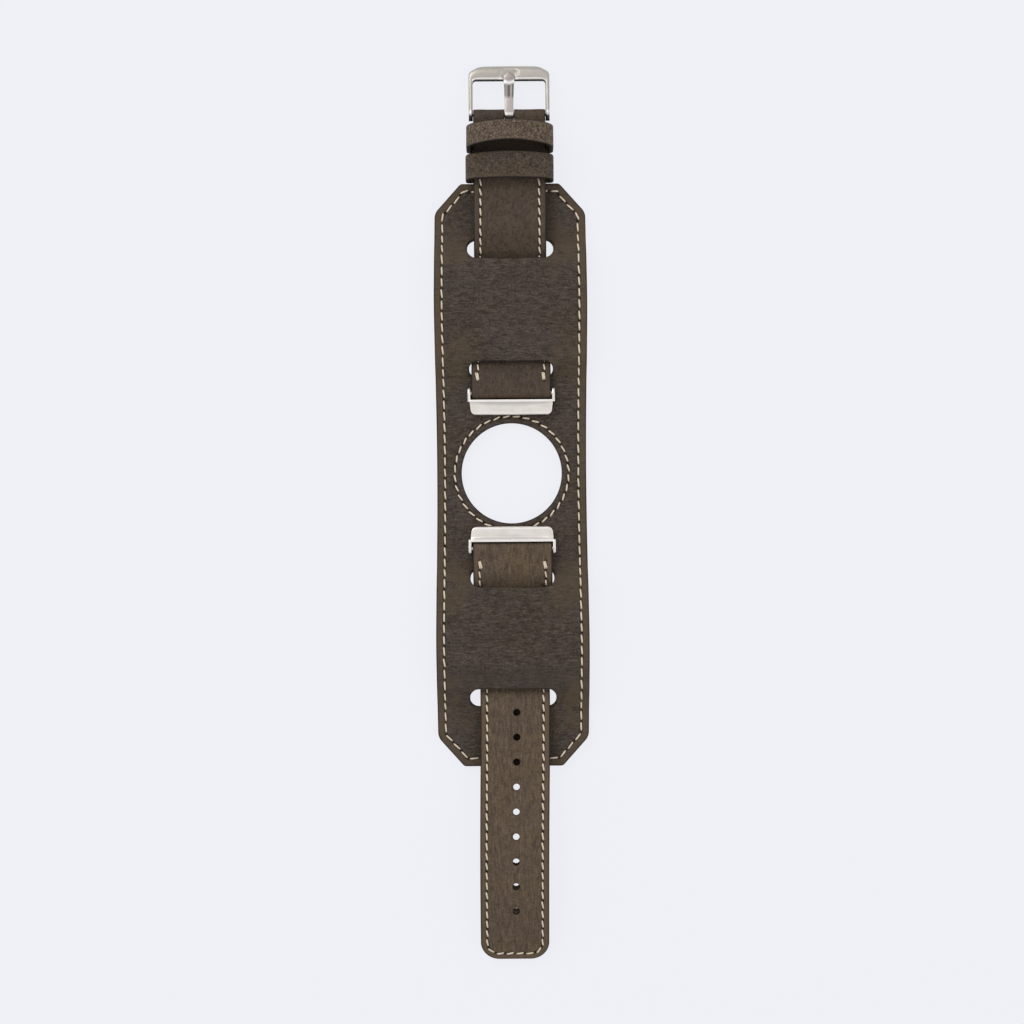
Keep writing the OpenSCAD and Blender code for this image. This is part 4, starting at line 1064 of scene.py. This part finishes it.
# %% Waxed leather
def waxed_leather(name, objects, colours, wrinkles, line=1.9, contrast=1.0, ridge=1.0,
                  rim_line=0.4):
    """colours are the middle, patches, edge band, dark and light. wrinkles are as long as this
    along x, y and z in mm, line is how far the edge band reaches and rim_line the holes' shade."""
    middle, patch, band, dark, light = colours
    tree, surface, plain = material(name, objects, Specular_IOR_Level=0.2)
    edge, rim, needle, groove = (
        add(tree, "Attribute", {"attribute_name": key}).outputs["Fac"]
        for key in ("edge", "rim", "needle", "groove"))
    creased = add(tree, "Mapping", Vector=plain, Scale=[1 / size for size in wrinkles])
    large, small, grit, wrinkle = (
        add(tree, "TexNoise", Vector=place, Scale=1 / size, Detail=detail, Roughness=rough,
            Distortion=warp)
        for place, size, detail, rough, warp in (
            (plain, 13.33, 3, 0.6, 0.5), (plain, 2.0, 4, 0.65, 0), (plain, 0.526, 3, 0.6, 0),
            (creased, 1.0, 4, 0.6, 0.5)))
    rubbed = add(tree, "MapRange", SMOOTH, Value=small, From_Min=0.32, From_Max=0.58,
                 To_Min=0.245, To_Max=0.7)
    # Each layer's colour, pattern, low and high, and its share at either
    colour = middle
    for layer in (
            (patch, large, 0.38, 0.62), (dark, small, 0.45, 0.72, 0, 0.45 * contrast),
            (dark, wrinkle, 0.52, 0.34, 0, 0.7 * contrast),
            (light, wrinkle, 0.54, 0.70, 0, 0.7 * contrast),
            (dark, grit, 0.50, 0.30, 0, 0.55 * contrast),
            (light, grit, 0.52, 0.72, 0, 0.5 * contrast),
            (band, edge, line - 0.7, line + 0.7, rubbed, 0),
            ("#261f1a", edge, 0.1, 0.55, 0.95, 0), ("#261f1a", rim, 0.05, rim_line, 0.95, 0),
            # The last two layers are painted shade: darker along the stitch groove and near black
            # at the needle holes
            ("#33281a", groove, 0.25, 0.9, 0, 0.62), ("#1d1712", needle, 0.05, 0.5, 0, 0.95)):
        colour = laid_over(tree, colour, *layer)
    waxy = add(tree, "MapRange", SMOOTH, Value=small, From_Min=0.3, From_Max=0.7,
               To_Min=0.55, To_Max=0.72)
    pebble = add(tree, "TexVoronoi", {"feature": "SMOOTH_F1"}, Vector=plain, Scale=1 / 0.435,
                 Smoothness=0.6, Randomness=1.0)
    height = add(tree, "Math", {"operation": "MULTIPLY_ADD"}, i0=pebble, i1=0.4, i2=wrinkle)
    fine = add(tree, "Bump", Strength=0.6 * ridge, Distance=0.0005, Height=height)
    soft = add(tree, "Bump", Strength=0.4, Distance=0.0012, Height=large, Normal=fine)
    feed(tree, surface, Base_Color=colour, Roughness=waxy, Normal=soft)
    return tree, surface, plain, colour


# %% The pad's leather, darker on its lower crest and rubbed beside its slots
tree, surface, plain, colour = waxed_leather(
    "waxed cowhide of the pad", [pad_top], ("#4e443d", "#4b4135", "#62523f", "#261f1b", "#6a5d52"),
    (2.22, 0.5, 0.5), line=2.3)
x_mm, y_mm, _ = add(tree, "SeparateXYZ", Vector=plain).outputs
outwards = add(tree, "Math", {"operation": "ABSOLUTE"}, i0=x_mm)
patches = add(tree, "TexNoise", Vector=plain, Scale=1 / 5, Detail=4, Roughness=0.55)
cover = add(tree, "MapRange", SMOOTH, Value=patches, From_Min=0.36, From_Max=0.6, To_Max=0.75)
cover = add(tree, "MapRange", SMOOTH, Value=outwards, From_Min=8, From_Max=15, To_Max=cover)
colour = laid_over(tree, colour, "#39322e", away_from(tree, y_mm, -61), 2, 7, 0.45, 0)
colour = laid_over(tree, colour, "#594b3a", away_from(tree, y_mm, -67, -33, 33, 67), 3, 11,
                   cover, 0)
feed(tree, surface, Base_Color=colour)

# %% The buckle half's leather, with painted shade between the keepers and rubbed at its fold
tree, surface, plain, colour = waxed_leather(
    "waxed cowhide of the buckle half", [buckle_top],
    ("#4f4239", "#57493b", "#54473b", "#2f2721", "#66584c"), (0.625, 1.667, 1.667), contrast=0.75)
along = add(tree, "Attribute", {"attribute_name": "cut_s"}).outputs["Fac"]
keeper_gap_shade_s, fold = float(s_at(buckle_line, 94.2)), float(s_at(buckle_line, UPPER_PIN)) - 2.8
patches = add(tree, "TexNoise", Vector=plain, Scale=1 / 5, Detail=3, Roughness=0.55)
cover = add(tree, "MapRange", SMOOTH, Value=patches, From_Min=0.36, From_Max=0.64, To_Max=0.4)
# Painted shade: the strap goes near black round the gap between the keepers, where the fixed
# keeper's raised top shades it
colour = laid_over(tree, colour, "#372c23", away_from(tree, along, keeper_gap_shade_s), 2.4, 5, 0.96, 0)
colour = laid_over(tree, colour, "#5f503c", away_from(tree, along, fold), 0.4, 1.6, cover, 0)
feed(tree, surface, Base_Color=colour)

# %% The other leathers
lining_colours = ("#6b5b4c", "#655546", "#6f6050", "#4d4035", "#7b6b5a")
for name, objects, colours, wrinkles, rest in (
        ("waxed cowhide of the tail", [tail_top],
         ("#625344", "#665642", "#675745", "#43382e", "#7d6d5a"), (0.5, 3.333, 3.333),
         {"rim_line": 0.2}),
        ("lining leather", [pad_low, buckle_low], lining_colours, (1.25, 1.25, 1.25), {}),
        ("lining leather of the tail", [tail_low], lining_colours, (1.25, 1.25, 1.25),
         {"rim_line": 1.3}),
        ("waxed cowhide of the free keeper", [free_keeper],
         ("#4c423d", "#594b3a", "#5f513f", "#2a231f", "#6d6054"), (0.667, 0.667, 0.667),
         {"line": 0.7, "contrast": 1.2}),
        ("napped cowhide of the fixed keeper", [fixed_keeper],
         ("#6a5b4c", "#675847", "#6f614f", "#352b23", "#9c8972"), (0.4545, 2.0, 0.4545),
         {"line": 0.7, "contrast": 1.35, "ridge": 1.6})):
    waxed_leather(name, objects, colours, wrinkles, **rest)

# %% [markdown]
# The thread is linen of three plies in beeswax. The plies show as fine slanting ridges 0.4 mm
# apart, and the wax gives a soft gloss. The wave repeats when x + y + z has grown by
# 2 pi / (10 scale), and across its ridges that is sqrt(3) times less.

# %% Waxed thread
tree, surface, plain = material("waxed linen thread", threads, Roughness=0.55)
ply = add(tree, "TexWave", {"wave_type": "BANDS", "bands_direction": "DIAGONAL"}, Vector=plain,
          Scale=2 * math.pi / (10 * math.sqrt(3) * 0.403), Distortion=1.2, Detail=2).outputs["Fac"]
blotch = add(tree, "TexNoise", Vector=plain, Scale=1 / 2.857, Detail=2, Roughness=0.55)
sunk = add(tree, "Attribute", {"attribute_name": "stitch_end"}).outputs["Fac"]
colour = laid_over(tree, "#ecdbc1", "#f5e8d2", blotch, 0.35, 0.65)
colour = laid_over(tree, colour, "#8d7a5c", ply, 0.2, 0.5, 0.3, 0)
# Painted shade: each stitch darkens towards its ends, where it dives into its needle hole
colour = laid_over(tree, colour, "#8f7650", sunk, 0.6, 1, 0, 0.7)
bump = add(tree, "Bump", Strength=0.6, Distance=0.0001, Height=ply)
feed(tree, surface, Base_Color=colour, Normal=bump)

# %% [markdown]
# The metal is stainless steel. The connectors are brushed along their length to a pale satin,
# the buckle is tumbled and looks warmer and more worn, and pins and bars are turned. The pins are
# bright, and the spring bar's steel is painted dark, as painted shade for where it lies under the
# tongue and the leather.

# %% Steels
def steel(name, objects, clean, other, rough, grain, ridge=0.25, dark="#1f1b18", bright="#f6f3ee"):
    """Two near colours in clouds of 4 mm, and lines as long as grain along x, y and z in mm. The
    mesh's shade and shine say how far it goes to the dark and the bright colour."""
    tree, surface, plain = material(name, objects, Metallic=1.0)
    drawn = add(tree, "Mapping", Vector=plain, Scale=[1 / size for size in grain])
    lines = add(tree, "TexNoise", Vector=drawn, Scale=1.0, Detail=4, Roughness=0.6)
    cloud = add(tree, "TexNoise", Vector=plain, Scale=1 / 4, Detail=2, Roughness=0.55)
    colour = laid_over(tree, clean, other, cloud, 0.3, 0.7)
    colour = laid_over(tree, colour, other, lines, 0.35, 0.65, 0, 0.3)
    for key, over in (("shade", dark), ("shine", bright)):
        amount = add(tree, "Attribute", {"attribute_name": key}).outputs["Fac"]
        colour = add(tree, "Mix", {"data_type": "RGBA"}, i0=amount, i6=colour, i7=over)
    satin = add(tree, "MapRange", SMOOTH, Value=lines, From_Min=0.3, From_Max=0.7,
                To_Min=rough - 0.06, To_Max=rough + 0.1)
    bump = add(tree, "Bump", Strength=ridge, Distance=0.00003, Height=lines)
    feed(tree, surface, Base_Color=colour, Roughness=satin, Normal=bump)


def named(*names):
    """The frame's own objects of these nodes, which scene.py doesn't replace."""
    return [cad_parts[name] for name in names]


steel("brushed stainless steel of the connectors", [upper_connector, lower_connector],
      "#e8e1d9", "#dcd5cb", 0.34, (4, 0.333, 0.333), dark="#aeaaa5", bright="#fbf8f3")
steel("tumbled stainless steel of the buckle", [buckle],
      "#b8b2a7", "#afa99f", 0.36, (0.333, 0.333, 0.333), 0.15)
steel("polished steel of the tongue", [tongue],
      "#bab2ab", "#aea69f", 0.4, (0.333, 0.333, 0.333), 0.1, dark="#48423d")
steel("turned steel of the pins",
      named("upper_connector_pin", "lower_connector_pin", "upper_connector_nub",
            "lower_connector_nub"), "#cfcbc5", "#bdb8b1", 0.3, (0.125, 0.125, 0.125))
# The spring bar's dark colour is painted shade, for the shade it lies in under the tongue and the
# leather
steel("steel of the spring bar, painted dark as shade",
      named("spring_bar_barrel", "spring_bar_left_tip", "spring_bar_right_tip"),
      "#57524c", "#474340", 0.4, (0.111, 1, 1))
steel("spring wire",
      named("spring_bar_spring", "upper_connector_spring", "lower_connector_spring"),
      "#a39f98", "#8f8b84", 0.3, (0.111, 0.111, 0.111))

# %% [markdown]
# ## Stage, light and camera
# The picture is a cut-out on a plain pale ground. The floor is that colour, and most of what the
# camera sees of it is its own light, so it stays pale and still takes a soft shadow. A broad lamp
# overhead and the pale world light the strap at a plain level.

# %% Floor and world
def seen_plain(tree, output, rays, share, lit, plain):
    """These kinds of ray see this share of the plain colour, and all others what is lit."""
    path, seen = add(tree, "LightPath"), 0.0
    for ray in rays:
        seen = add(tree, "Math", {"operation": "MAXIMUM"}, i0=seen, i1=path.outputs[ray])
    seen = add(tree, "Math", {"operation": "MULTIPLY"}, i0=seen, i1=share)
    add(tree, output, Surface=add(tree, "MixShader", i0=seen, i1=lit, i2=plain))


floor_mesh = bpy.data.meshes.new("floor")
floor_mesh.from_pydata([(-3, -3, -0.0004), (3, -3, -0.0004), (3, 3, -0.0004), (-3, 3, -0.0004)],
                       [], [(0, 1, 2, 3)])
floor = bpy.data.objects.new("floor", floor_mesh)
bpy.context.scene.collection.objects.link(floor)
floor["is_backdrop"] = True
paper = bpy.data.materials.new("pale paper ground")
paper.use_nodes = True
tree = paper.node_tree
tree.nodes.clear()
seen_plain(tree, "OutputMaterial", ("Is Camera Ray", "Is Glossy Ray", "Is Transmission Ray"), 0.9,
           add(tree, "BsdfDiffuse", Color="#e9eaf0"),
           add(tree, "Emission", Color="#f2f3f8", Strength=1.0))
floor_mesh.materials.append(paper)

world = bpy.data.worlds.new("studio")
bpy.context.scene.world = world
world.use_nodes = True
tree = world.node_tree
tree.nodes.clear()
seen_plain(tree, "OutputWorld", ("Is Camera Ray", "Is Glossy Ray"), 1.0,
           add(tree, "Background", Color="#f4f4f6", Strength=0.6),
           add(tree, "Background", Color="#f1f2f7", Strength=1.0))


# %% Lamps
def lamp(name, size, power, place, aim):
    """A square area lamp of this size in metres, turned from its place towards aim."""
    data = bpy.data.lights.new(name, "AREA")
    data.shape, data.size, data.energy = "SQUARE", size, power
    obj = bpy.data.objects.new(name, data)
    bpy.context.scene.collection.objects.link(obj)
    towards = np.array(aim, float) - place
    obj.location = place
    obj.rotation_euler = Vector(towards).to_track_quat("-Z", "Y").to_euler()
    print(name, power, "W from", round(float(np.linalg.norm(towards)), 2), "m away")


lamp("key softbox", 0.9, 7.0, (-0.75, 0.75, 1.0), (0, 0, 0))
lamp("fill softbox", 0.7, 2.0, (0.9, -0.2, 0.9), (0, 0, 0))

# %% [markdown]
# The camera stands a metre over the strap and looks straight down. A 36 mm sensor and a lens of
# 120.2 mm show 299.5 mm of the ground in the picture's 1024 pixels, and two fifths of a degree
# of roll give the strap the slight lean that it has in the photograph.

# %% Camera
camera_data = bpy.data.cameras.new("camera")
camera_data.sensor_width, camera_data.lens = 36.0, 120.2
camera = bpy.data.objects.new("camera", camera_data)
bpy.context.scene.collection.objects.link(camera)
camera.location = (0.0, -0.0113, 1.0)
camera.rotation_euler = (0, 0, math.radians(-0.41))
bpy.context.scene.camera = camera
bpy.context.scene.view_settings.view_transform = "Standard"
shown = camera.location.z * camera_data.sensor_width / camera_data.lens
print("the picture is", round(shown * 1000, 1), "mm wide on the ground")

# %% Measure and finish
lo, hi = cad_box
new_lo, new_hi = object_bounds()
for name, box in (("CAD", (*lo, *hi)), ("visual", (*new_lo, *new_hi))):
    print(name, [round(v * 1000, 2) for v in box], "mm")
